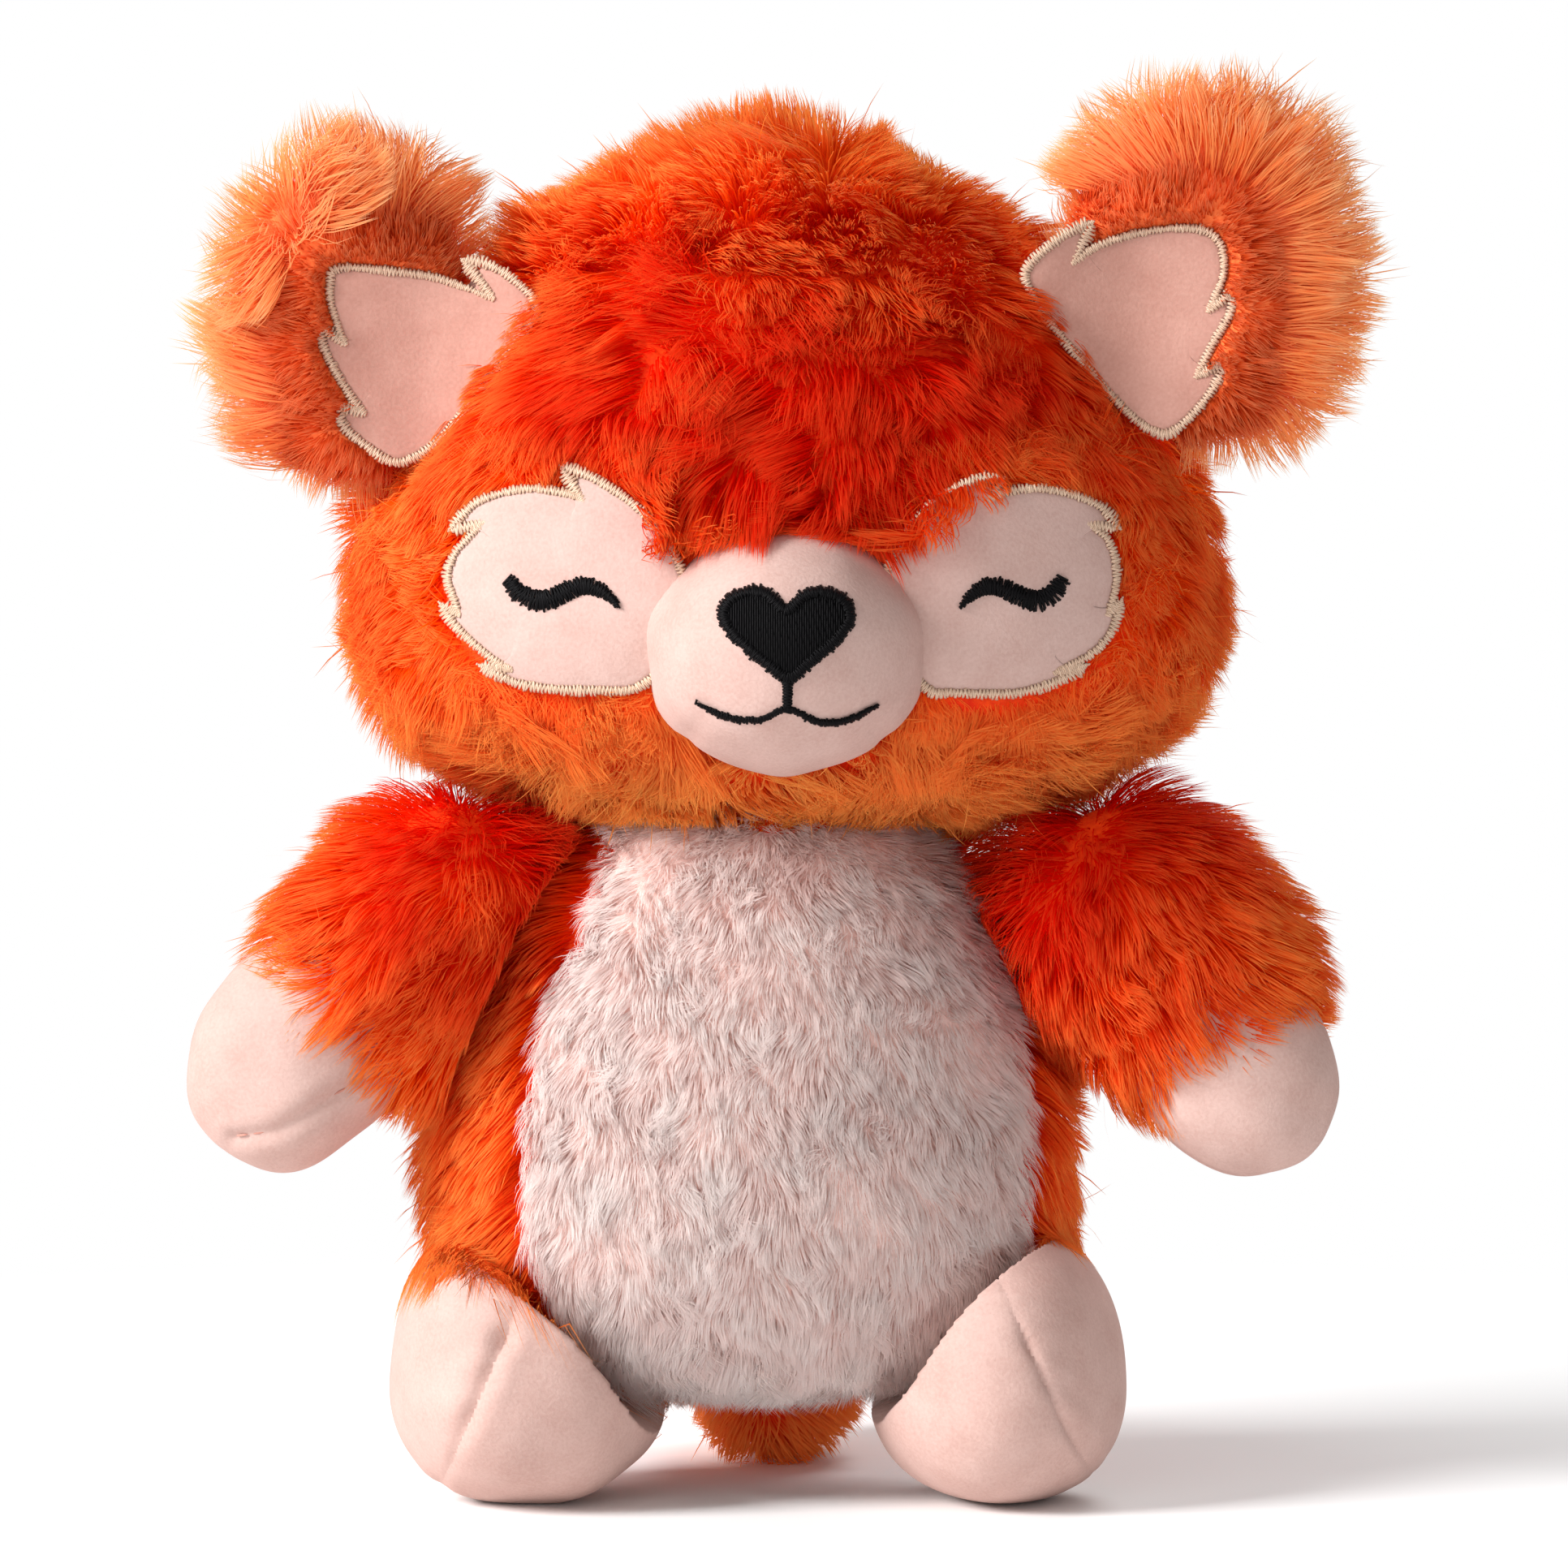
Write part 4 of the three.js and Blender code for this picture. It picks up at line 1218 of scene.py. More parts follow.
@dataclass
class Patch(Sided):
    """One velour eye patch with its stitched edge and closed eye."""

    side: int
    x: float
    z: float
    edging: Edging
    eye: tuple[Point, ...]
    rise: float = 0.9
    eye_widths: tuple[float, ...] = (2.6, 3.7, 4.2, 3.9, 3.9, 3.5, 2.5, 0.9)

    @property
    def outline(self) -> Array:
        """Returns the patch's edge, seen from the front."""
        return self.edging.outline

    @property
    def middle(self) -> Array:
        """Returns the patch's middle, seen from the front."""
        return np.array([self.x, self.z])

    @property
    def inner(self) -> Array:
        """Returns the line inside the edge up to which the head's pile grows."""
        return self.middle + (self.outline - self.middle) * 0.9

    def on_head(self, flat: Array, lift: float | Array) -> Array:
        """Lays points on the head."""
        return HEAD.front(flat, lift)

    def build(self, head: Piece) -> None:
        """Makes the patch, its edge and its eye."""
        label = self.label
        pad = pad_mesh(self.outline, self.on_head,
                       lambda s: 0.7 + self.rise * (1 - s ** 3) + 0.5 * np.sqrt(np.clip(1 - s ** 4, 0, 1)),
                       skirt=7.0, inward=1.5)
        head.make(f"{label}_eye_pad", *pad, Cloth.VELOUR, f"{label}_eye_patch", fill=0.3)
        head.stitch(f"{label}_patch_stitching", self.edging.build(self.lay_edge), Cloth.BEIGE_THREAD,
                    f"{label}_patch_edge")
        self.build_eye(head)

    def lay_edge(self, flat: Array, lift: float | Array) -> Array:
        """Lays the stitched edge a little over the pad's rim."""
        return self.on_head(flat, np.asarray(lift) + 0.8)

    def lay_eye(self, flat: Array, lift: float | Array) -> Array:
        """Lays the eye's thread on top of the pad."""
        return self.on_head(flat, np.asarray(lift) + 2.05)

    def build_eye(self, head: Piece) -> None:
        """Stitches the closed eye."""
        satin = Satin(width=1.0, height=0.6, pitch=0.3, thread=0.5, uneven=0.2, slant=0.1)
        line = curve_through(self.eye, satin.pitch, closed=False)
        share = np.linspace(0, len(self.eye_widths) - 1, len(line))
        widths = np.interp(share, np.arange(len(self.eye_widths)), self.eye_widths)
        part = satin.build(line, self.lay_eye, widths=widths, seed=9)
        head.stitch(f"{self.label}_eye_stitching", [part], Cloth.BLACK_THREAD, f"{self.label}_eye")


@dataclass(frozen=True)
class Lock:
    """A lock of the brow's fringe, seen from the front: where it grows and where its tip lies."""

    root: Point
    tip: Point
    spread: float = 6.0


@dataclass
class Head(Piece):
    """The head's cover and pile, with muzzle, patches and their embroidery."""

    skin: Egg = field(default_factory=lambda: HEAD.grown(-PILE_HEIGHT))
    patches: tuple[Patch, ...] = (
        Patch(-1, -43.4, 180.5, Edging(
            tips=((-42.7, 203.4), (-64.4, 190.7), (-66.3, 177.1), (-58.8, 165.3)),
            inners=((-37.8, 196.0), (-57.3, 192.5), (-62.2, 174.6), (-52.0, 164.4)),
            runs=(((-42.7, 203.4), (-36.5, 201.2), (-27.9, 195.6), (-21.7, 188.2), (-18.5, 180.0), (-19.5, 170.0),
                   (-27.2, 161.6), (-35.3, 160.7), (-42.7, 160.7), (-50.2, 161.6), (-55.1, 163.4), (-58.8, 165.3)),
                  ((-52.0, 164.4), (-55.1, 165.9), (-60.7, 170.3), (-63.8, 173.4), (-66.3, 177.1)),
                  ((-62.2, 174.6), (-63.8, 178.9), (-64.7, 182.0), (-63.2, 186.4), (-59.4, 190.7), (-57.3, 192.5)),
                  ((-64.4, 190.7), (-61.9, 193.8), (-57.6, 196.9), (-48.9, 199.0), (-40.2, 197.8), (-37.8, 196.0)))),
            eye=((-52.6, 181.9), (-50.2, 178.9), (-46.4, 177.7), (-42.7, 178.8), (-39.0, 180.6), (-35.9, 180.3),
                 (-33.1, 178.6), (-31.3, 176.6))),
        Patch(1, 43.6, 180.3, Edging(
            tips=((42.1, 201.2), (64.7, 191.0), (65.0, 178.0), (58.5, 165.3)),
            inners=((39.0, 196.9), (58.2, 192.2), (62.2, 174.6), (51.7, 163.7)),
            runs=(((42.1, 201.2), (36.0, 200.6), (28.5, 196.5), (22.0, 188.5), (18.5, 180.0), (19.5, 170.0),
                   (27.3, 161.0), (31.5, 160.3), (37.7, 160.0), (43.9, 160.0), (50.1, 161.3), (55.1, 163.4),
                   (58.5, 165.3)),
                  ((51.7, 163.7), (58.8, 167.2), (62.5, 170.9), (64.1, 174.6), (65.0, 178.0)),
                  ((62.2, 174.6), (63.8, 180.8), (63.5, 185.8), (61.9, 189.4), (58.2, 192.2)),
                  ((64.7, 191.0), (61.3, 195.0), (56.3, 197.5), (48.9, 199.0), (42.7, 198.4), (39.0, 196.9)))),
            eye=((53.3, 181.9), (50.9, 178.8), (48.2, 177.6), (44.6, 178.8), (40.2, 180.6), (37.5, 180.2),
                 (35.3, 178.6), (33.5, 176.6))),
    )
    pile: Pile = Pile(length=16, density=2.3, width=0.27, tousle=0.55, tuft=11, lock=2.2, gather=0.6)
    short_pile: Pile = Pile(length=7.5, density=3.8, width=0.24, root_lift=36, tip_lift=10, tuft=6, lock=1.6,
                            gather=0.35, tousle=0.2, segments=3, sink=0.6, stray=0.0)
    locks: tuple[Lock, ...] = (
        Lock((-18, 198), (-24.8, 183.5), 7.0), Lock((-11, 199), (-15.4, 184.2), 7.0),
        Lock((-4, 200), (-3.2, 184.5), 6.5), Lock((20, 199), (27.2, 183.5), 7.0),
        Lock((15, 197), (23.8, 179.0), 3.5), Lock((29, 205), (36.5, 192.5), 7.5),
        Lock((36, 209), (43.5, 198.5), 6.0))
    ear_panels: tuple[Array, ...] = ()
    lowest: float = 0.985

    def build(self) -> None:
        """Makes the head."""
        self.cover("head_cover", self.skin, "head_shell", hidden=lambda p: BODY.grown(-3).level(p) < 1,
                   sides=160, rings=100, seed=11, swell=self.swell)
        self.filling("head_stuffing", HEAD.grown(-STUFFING_DEPTH), "head_filling",
                     [Swing(BODY, NECK, (1, 0, 0), *HEAD_NOD)])
        self.build_muzzle()
        for patch in self.patches:
            patch.build(self)
        self.fur("head_pile", self.skin, self.pile, Cloth.ORANGE_PILE, self.comb, 100, self.keep, self.scale,
                 self.upright, self.depth, self.limit, self.shift, self.lead)
        self.fur("patch_pile", self.skin, self.short_pile, Cloth.ORANGE_PILE,
                 brushed_from(self.eye_outlines, 0.5), 120, self.beside,
                 depth=lambda p: self.depth(p) - 0.1, limit=self.limit, shift=self.shift)

    @property
    def eye_outlines(self) -> list[Array]:
        """Returns the eye patches' edges, seen from the front."""
        return [patch.outline for patch in self.patches]

    def beside(self, points: Array) -> Array:
        """Short pile grows in a band round the patches, up to their edges."""
        gap = self.gap_to_eyes(points)
        under = np.any([inside_outline(points[:, [0, 2]], patch.inner) for patch in self.patches], axis=0)
        return (gap < 8) & ~under & (points[:, 2] < 203) & (MUZZLE.grown(-1.5).level(points) > 1)

    @staticmethod
    def over(flat: Array, lift: float) -> Array:
        """Lays points over whichever stands out furthest: the head, its pads or the muzzle."""
        on_head, on_muzzle = HEAD.front(flat, lift), MUZZLE.front(flat, lift)
        inside = np.hypot((flat[:, 0] - MUZZLE.x) / MUZZLE.half_width,
                          (flat[:, 1] - MUZZLE.z) / MUZZLE.above) < 1
        return np.where((inside & (on_muzzle[:, 1] < on_head[:, 1]))[:, None], on_muzzle, on_head)

    def lead(self, curves: Array) -> Array:
        """Draws the fringe's strands together in locks that lie over the muzzle and the patches."""
        root = curves[:, 0]
        made = curves.copy()
        rng = np.random.default_rng(7)
        for lock in self.locks:
            away = np.linalg.norm(root[:, [0, 2]] - lock.root, axis=1)
            pick = np.flatnonzero((away < lock.spread) & (root[:, 1] < -20))
            if not len(pick):
                continue
            off = (away[pick] / lock.spread) ** 2
            reach = rng.uniform(0.72, 1.04, len(pick)) * (1 - 0.34 * off)
            share = np.linspace(0, 1, curves.shape[1])[None, :, None] * reach[:, None, None]
            start = root[pick]
            flat = np.array(lock.tip) + (start[:, [0, 2]] - lock.root) * 0.3
            flat = flat + rng.normal(0, 0.7, (len(pick), 2))
            end, middle = self.over(flat, 1.2), self.over((start[:, [0, 2]] + flat) / 2, 3.6)
            path = ((1 - share) ** 2 * start[:, None] + 2 * share * (1 - share) * middle[:, None]
                    + share ** 2 * end[:, None])
            made[pick] += (path - made[pick]) * (0.9 - 0.5 * off)[:, None, None]
        return made

    def swell(self, points: Array) -> Array:
        """The cloth stands out round the patches, which are sewn flat on it."""
        return 4.6 * (1 - smooth_step(self.gap_to_eyes(points), 1.5, 13))

    def shift(self, points: Array) -> Array:
        """Roots stand out with the cloth."""
        return self.skin.normal(points) * self.swell(points)[:, None]

    @staticmethod
    def comb(points: Array) -> Array:
        """Pile flows down from the crown, and outwards on the cheeks."""
        down = unit(points - np.array([0.0, 46.0, 262.0]))
        cheek = smooth_step(np.abs(points[:, 0]), 30, 75)[:, None] * np.sign(points[:, :1])
        return unit(down + cheek * np.array([0.55, 0.0, 0.0]) + np.array([0, -0.08, 0]))

    def keep(self, points: Array) -> Array:
        """No pile grows below the muzzle, the patches or deep in the neck."""
        kept = (MUZZLE.grown(-1.5).level(points) > 1) & (BODY.grown(-9).level(points) > 1)
        front = points[:, 1] < 0
        for outline in [patch.inner for patch in self.patches] + list(self.ear_panels):
            kept &= ~(front & inside_outline(points[:, [0, 2]], outline))
        return kept

    @staticmethod
    def gap_to(points: Array, outlines: Iterable[Array]) -> Array:
        """Returns how far points in front lie from the nearest outline, seen from the front."""
        gap = np.full(len(points), FAR)
        for outline in outlines:
            away = gap_from(points[:, [0, 2]], outline[::4])
            gap = np.minimum(gap, np.where(points[:, 1] < 0, away, FAR))
        return gap

    def gap_to_eyes(self, points: Array) -> Array:
        """Returns how far points in front lie from the nearest eye patch."""
        return self.gap_to(points, self.eye_outlines)

    def gap_to_patches(self, points: Array) -> Array:
        """Returns how far points in front lie from the nearest patch or ear lining."""
        return self.gap_to(points, self.eye_outlines + list(self.ear_panels))

    def scale(self, points: Array) -> Array:
        """Pile is shortest round the patches and longest on the crown and the brow."""
        near = (1 - smooth_step(self.gap_to_patches(points), 1, 13)) * (1 - self.fringe(points))
        round_patches = (1 - 0.42 * near) * (1 + 0.35 * self.fringe(points))
        peak = np.exp(-((points[:, 0] + 6) / 15) ** 2) * smooth_step(points[:, 2], 240, 258)
        right = smooth_step(points[:, 0], 12, 34) * smooth_step(points[:, 2], 228, 250)
        crown = 1 + 0.1 * smooth_step(points[:, 2], 235, 262) + 0.32 * peak - 0.3 * right
        crown = crown + 0.4 * self.beside_ears(points)
        middle = 1 - smooth_step(np.abs(points[:, 0]), 16, 34)
        chin = 1 - 0.2 * smooth_step(-points[:, 2], -160, -140) * (points[:, 1] < 0) * middle
        return round_patches * crown * chin

    def upright(self, points: Array) -> Array:
        """Pile stands up on the crown and lies close round the patches."""
        crown = 12 * smooth_step(points[:, 2], 228, 260)
        fringe = self.fringe(points)
        flat = -16 * (1 - smooth_step(self.gap_to_patches(points), 2, 12)) * (1 - fringe)
        return crown + flat + 10 * fringe + 16 * self.beside_ears(points)

    @staticmethod
    def beside_ears(points: Array) -> Array:
        """Returns 1 where the head's pile fills the way up to the ears."""
        out = np.abs(points[:, 0])
        across = smooth_step(out, 36, 46) * smooth_step(-out, -70, -60)
        return across * smooth_step(points[:, 2], 226, 236) * smooth_step(-points[:, 1], -12, 0)

    @staticmethod
    def fringe(points: Array) -> Array:
        """Returns 1 where the brow's fringe grows, over the muzzle and beside the right patch."""
        across = smooth_step(points[:, 0], -33, -24) * smooth_step(-points[:, 0], -42, -32)
        return across * smooth_step(points[:, 2], 184, 190) * smooth_step(-points[:, 2], -214, -202)

    @staticmethod
    def depth(points: Array) -> Array:
        """The brow's middle is the reddest, the cheeks and the chin the palest; the paleness low on the head is
        partly the pile's own colour and partly painted light lifting the shade under the chin.
        """
        up = points[:, 2] - 216
        brow = np.exp(-((points[:, 0] - 3) / 44) ** 2 - (up / np.where(up > 0, 21, 30)) ** 2)
        brow = brow * (points[:, 1] < 20)
        # Paler low on the head: partly the pile's own colour, partly painted light standing in for light under the
        # chin.
        low = smooth_step(-points[:, 2], -178, -140)
        crown = smooth_step(points[:, 2], 238, 258)
        return 0.2 + 1.25 * brow - 1.7 * low - 0.35 * crown

    def limit(self, points: Array) -> Array:
        """Pile beside a patch doesn't rise over it, and none stands in the muzzle."""
        made = above_floor(points)
        for patch in self.patches:
            flat = made[:, [0, 2]]
            near = (made[:, 1] < -20) & inside_outline(flat, patch.outline[::4])
            flow_over = (made[:, 2] > patch.z - 2) & (made[:, 0] > -27) & (made[:, 0] < 46)
            near &= ~flow_over
            level = HEAD.level(made)
            sunk = near & (level > self.lowest)
            made[sunk] = HEAD.centre + (made[sunk] - HEAD.centre) * (self.lowest / level[sunk])[:, None]
        above = made[:, 2] > 183
        made[above] = push_out(made[above], MUZZLE.grown(0.5))
        return made

    def build_muzzle(self) -> None:
        """Makes the muzzle's dome, its nose and its mouth."""
        points, faces = MUZZLE.grid(72, 48)
        local = points - MUZZLE.centre
        narrow = 1 - 0.16 * smooth_step(local[:, 2], 2, 22) + 0.03 * smooth_step(-local[:, 2], 4, 14)
        local[:, 0] *= narrow
        dart = np.exp(-((np.abs(local[:, 0]) - 0.62 * (12 - local[:, 2])) / 2.2) ** 2)
        dart = dart * smooth_step(-local[:, 2], 8, 20)
        chin = np.exp(-(local[:, 0] / 5) ** 2) * smooth_step(-local[:, 2], 14, 24)
        local *= (1 - 0.02 * dart + 0.035 * chin)[:, None]
        puff = wander(points, 18, 31)[:, :1] * 0.25
        self.make("muzzle_dome", MUZZLE.centre + local + MUZZLE.normal(points) * puff, faces,
                  Cloth.VELOUR, "muzzle_cover", fill=0.85)
        self.filling("muzzle_stuffing", MUZZLE.grown(-3.0), "muzzle_filling")
        self.build_nose()
        self.build_mouth()

    @staticmethod
    def lay(flat: Array, lift: float | Array) -> Array:
        """Lays thread on the muzzle."""
        return MUZZLE.front(flat, np.asarray(lift) + 0.2)

    def build_nose(self) -> None:
        """Stitches the heart-shaped nose: a padded fill and a satin edge."""
        outline = shares_to_outline(HEART_SHARES, 0.5, 172.1, 12.7, 8.5, -1, step=0.3)
        points, faces = pad_mesh(outline, self.lay, lambda s: 0.25 + 0 * s, skirt=0.8, rings=8)
        # The padded fill gets no painted highlight, so it takes the thread's painted-shade colour.
        parts = [(points, faces, np.zeros(len(points)))] + self.fill_rows(outline)
        satin = Satin(width=2.3, height=0.75, pitch=0.3, thread=0.5, uneven=0.2, slant=0.1)
        middle = outline.mean(axis=0)
        ring = curve_through(middle + (outline[::5] - middle) * 0.94, satin.pitch, closed=True)
        edge = satin.build(ring, self.lay, closed=True)
        self.stitch("nose_stitching", parts + [edge], Cloth.BLACK_THREAD, "nose")

    def fill_rows(self, outline: Array, pitch: float = 0.45, stitch: float = 3.2) -> list[Stitches]:
        """Fills an outline with rows of thread.

        Args:
            outline: the edge, seen from the front.
            pitch: the distance between rows.
            stitch: the length of one stitch.
        Returns:
            Points, faces and painted-highlight shares of each row.
        """
        parts = []
        for row, x in enumerate(np.arange(outline[:, 0].min() + 0.6, outline[:, 0].max() - 0.6, pitch)):
            z = np.arange(outline[:, 1].min(), outline[:, 1].max(), 0.35)
            inside = inside_outline(np.column_stack([np.full(len(z), x), z]), outline)
            z = z[inside]
            if len(z) < 4:
                continue
            dip = np.abs(np.sin((z + row * stitch * 0.37) * math.pi / stitch)) ** 0.25
            low, high = -0.1 + 0 * dip, 0.3 + 0.32 * dip
            rings = [self.lay(np.column_stack([np.full(len(z), x + across * pitch * 0.5), z]), lift)
                     for across, lift in ((-1.0, low), (-0.5, high), (0.5, high), (1.0, low))]
            points = np.stack(rings, axis=1).reshape(-1, 3)
            faces = tube(len(z), 4) + [(3, 2, 1, 0), tuple((len(z) - 1) * 4 + j for j in range(4))]
            # The painted highlight follows each row's raised stretches.
            parts.append((points, faces, np.repeat(0.9 * dip, 4)))
        return parts

    def build_mouth(self) -> None:
        """Stitches the mouth and the short line above it."""
        satin = Satin(width=1.5, height=0.5, pitch=0.3, thread=0.46, uneven=0.13, slant=0.12)
        smile = [(0.6 + a * 17.2, 157 + u * 2.6) for a, u in SMILE_SHARES]
        line = curve_through(smile, satin.pitch, closed=False)
        ends = np.minimum(np.linspace(0, 8, len(line)), np.linspace(8, 0, len(line)))
        parts = [satin.build(line, self.lay, widths=0.45 + 0.55 * np.clip(ends, 0, 1))]
        upright = curve_through([(0.6, 164.4), (0.7, 161), (0.6, 157.6)], satin.pitch, closed=False)
        parts.append(satin.build(upright, self.lay, widths=np.full(len(upright), 1.35)))
        self.stitch("mouth_stitching", parts, Cloth.BLACK_THREAD, "mouth")


@dataclass
class Ear(Sided, Piece):
    """One ear: long pile at the back and rim, a brushed roll in front and a velour panel."""

    side: int = -1
    x: float = -83.5
    z: float = 231.5
    half_width: float = 28.5
    above: float = 38.0
    below: float = 37.0
    panel_x: float = -67.5
    panel_z: float = 224.5
    panel_half_width: float = 20.5
    panel_half_height: float = 19.0
    hinge: Place = (-61.3, -27.0, 228.0)
    lean: float = 26.0
    star: Point = (-95.5, 249.5)
    edging: Optional[Edging] = None
    y: float = -14.0
    split: float = -18.5
    band: float = 8.5
    rim: float = 7.5
    pile: Pile = Pile(length=16.5, density=2.6, width=0.25, root_lift=52, tip_lift=14, tuft=6.5, tousle=0.4,
                      gather=0.62, stray=0.03)
    nap: Pile = Pile(length=6.5, density=4.6, width=0.25, root_lift=40, tip_lift=12, tuft=5, lock=1.5,
                     gather=0.42, tousle=0.2, segments=3, sink=0.5, stray=0.0, soft=0.62)

    @property
    def back(self) -> Egg:
        """Returns the long-pile part's form, without its pile."""
        return Egg(self.x, self.y, self.z, self.half_width, 12, self.above, self.below, 2.2, 2.2).grown(-10)

    @property
    def front(self) -> Egg:
        """Returns the brushed roll's form."""
        return Egg(self.x, self.split, self.z, self.half_width - self.rim, 9, self.above - self.rim,
                   self.below - self.rim, 2.2, 2.2)

    @property
    def swings(self) -> list[Swing]:
        """Returns what the ear stays clear of as it folds."""
        axis = seam_axis(self.lean, self.side)
        return [Swing(HEAD.grown(-PILE_HEIGHT + 0.5), self.hinge, axis, *EAR_FOLD)]

    @property
    def outline(self) -> Array:
        """Returns the velour panel's edge."""
        return self.edging.outline

    def lay(self, flat: Array, lift: float | Array) -> Array:
        """Lays points in the ear's hollow, which is deepest at its middle and comes forward at the head."""
        offset = (flat - [self.panel_x, self.panel_z]) / [self.panel_half_width, self.panel_half_height]
        hollow = 2.0 * np.clip(1 - (offset ** 2).sum(axis=1), 0, 1)
        inner = smooth_step(-self.side * offset[:, 0], -0.2, 1.1)
        y = self.split - 5.4 + hollow - 5.0 * inner - lift
        return np.stack([flat[:, 0], y, flat[:, 1]], axis=1)

    def floor(self, points: Array, gap: Array) -> Array:
        """Returns how far back the hollow's cloth lies, from its gap to the panel."""
        return self.lay(points[:, [0, 2]], -0.9)[:, 1] - gap * 1.25

    def build_roll(self) -> None:
        """Makes the brushed roll, with the hollow that the panel lies in."""
        points, faces = self.front.grid(144, 96)
        points = points + self.front.normal(points) * wander(points, 18, 22 + self.side)[:, :1] * 0.4
        floor = self.floor(points, gap_from(points[:, [0, 2]], self.outline[::3]))
        front = points[:, 1] < self.split
        points[:, 1] = np.where(front, np.maximum(points[:, 1], floor), points[:, 1])
        points = pull_clear(points, self.front.centre + [0, 3, 0], self.swings)
        self.make(f"{self.label}_ear_roll", points, faces, Cloth.NAP_CLOTH, f"{self.label}_ear_front", fill=0.5)

    def build(self) -> None:
        """Makes the ear."""
        label = self.label
        self.cover(f"{label}_ear_cover", self.back, f"{label}_ear_back", self.swings, fill=0.5, seed=21)
        self.build_roll()
        pad = pad_mesh(self.outline, self.lay, lambda s: 0.4 + 0.5 * np.sqrt(np.clip(1 - s ** 4, 0, 1)),
                       skirt=2.5, inward=0.5)
        # The lining gets the darkened velour: painted shade of the ear's hollow.
        self.make(f"{label}_ear_lining", *pad, Cloth.EAR_VELOUR_PAINTED_SHADE, f"{label}_ear_panel")
        self.stitch(f"{label}_ear_stitching", self.edging.build(self.lay_edge), Cloth.BEIGE_THREAD,
                    f"{label}_ear_edge")
        self.grow()

    def lay_edge(self, flat: Array, lift: float | Array) -> Array:
        """Lays the stitched edge over the panel's rim."""
        return self.lay(flat, np.asarray(lift) + 0.5)

    def panel_gap(self, points: Array) -> Array:
        """Returns how far points lie from the panel, seen from the front."""
        return gap_from(points[:, [0, 2]], self.outline[::4])

    def outwards(self, points: Array) -> Array:
        """Long pile flows off the ear's edge, and round the star."""
        away = (points - [self.x - self.side * 7, self.y + 4, self.z - 5]) * [1, 0.4, 1]
        star = (points - [self.star[0], self.split - 8, self.star[1]]) * [1, 0.2, 1]
        near = np.exp(-(np.linalg.norm(star[:, [0, 2]], axis=1) / 15) ** 2)[:, None]
        near = near * (points[:, 1:2] < self.y)
        inner = smooth_step(-self.side * (points[:, 0] - self.x), 4, 18)
        inner = inner * smooth_step(points[:, 2], self.z + 2, self.z + 16)
        bridge = inner[:, None] * np.array([-self.side * 1.5, 0.0, -0.1])
        return unit(unit(away) * (1 - 0.9 * near) + unit(star) * near * 1.3 + bridge)

    def grow(self) -> None:
        """Grows the ear's long pile and its roll's nap."""
        band, roll = self.band, self.front.grown(-1.5)
        head = HEAD.grown(-PILE_HEIGHT)

        def limit(points: Array) -> Array:
            """Keeps strands clear of the head as the ear folds."""
            return pull_clear(points, self.front.centre, self.swings)

        def on_back(points: Array) -> Array:
            """Long pile grows on the back, but not behind the roll."""
            before = np.column_stack([points[:, 0], np.full(len(points), self.split), points[:, 2]])
            return (head.level(points) > 1) & ~((points[:, 1] < self.y) & (roll.level(before) < 1))

        def on_front(points: Array) -> Array:
            """Long pile grows on the roll's outer side."""
            return (self.panel_gap(points) > band) & (points[:, 1] < self.split) & (head.level(points) > 1)

        def sunk(points: Array) -> Array:
            """Roots go back with the cloth of the hollow."""
            back = self.floor(points, self.panel_gap(points)) - points[:, 1]
            return np.clip(back, 0, 9)[:, None] * np.array([0.0, 1.0, 0.0])

        def on_band(points: Array) -> Array:
            """Nap grows in a band round the panel."""
            gap = self.panel_gap(points)
            beside = (gap > 0.4) & (gap < band + 2)
            return beside & (points[:, 1] < self.split + 1) & (head.level(points) > 0.95)

        def on_slope(points: Array) -> Array:
            """Nap stands up on the hollow's slope."""
            return 46 * (1 - smooth_step(self.panel_gap(points), 2.6, 6))

        for part, form, keep in (("back", self.back, on_back), ("rim", self.front, on_front)):
            self.fur(f"{self.label}_ear_{part}_pile", form, self.pile, Cloth.EAR_PILE,
                     self.outwards, 200 + self.side, keep, depth=even(-0.45), limit=limit)
        self.fur(f"{self.label}_ear_nap", self.front, self.nap, Cloth.NAP_PILE,
                 brushed_from([self.outline], 0.15), 210 + self.side, on_band,
                 scale=lambda p: 0.7 + 0.45 * smooth_step(self.panel_gap(p), 1, band),
                 upright=on_slope, depth=even(0.3), limit=limit, shift=sunk)


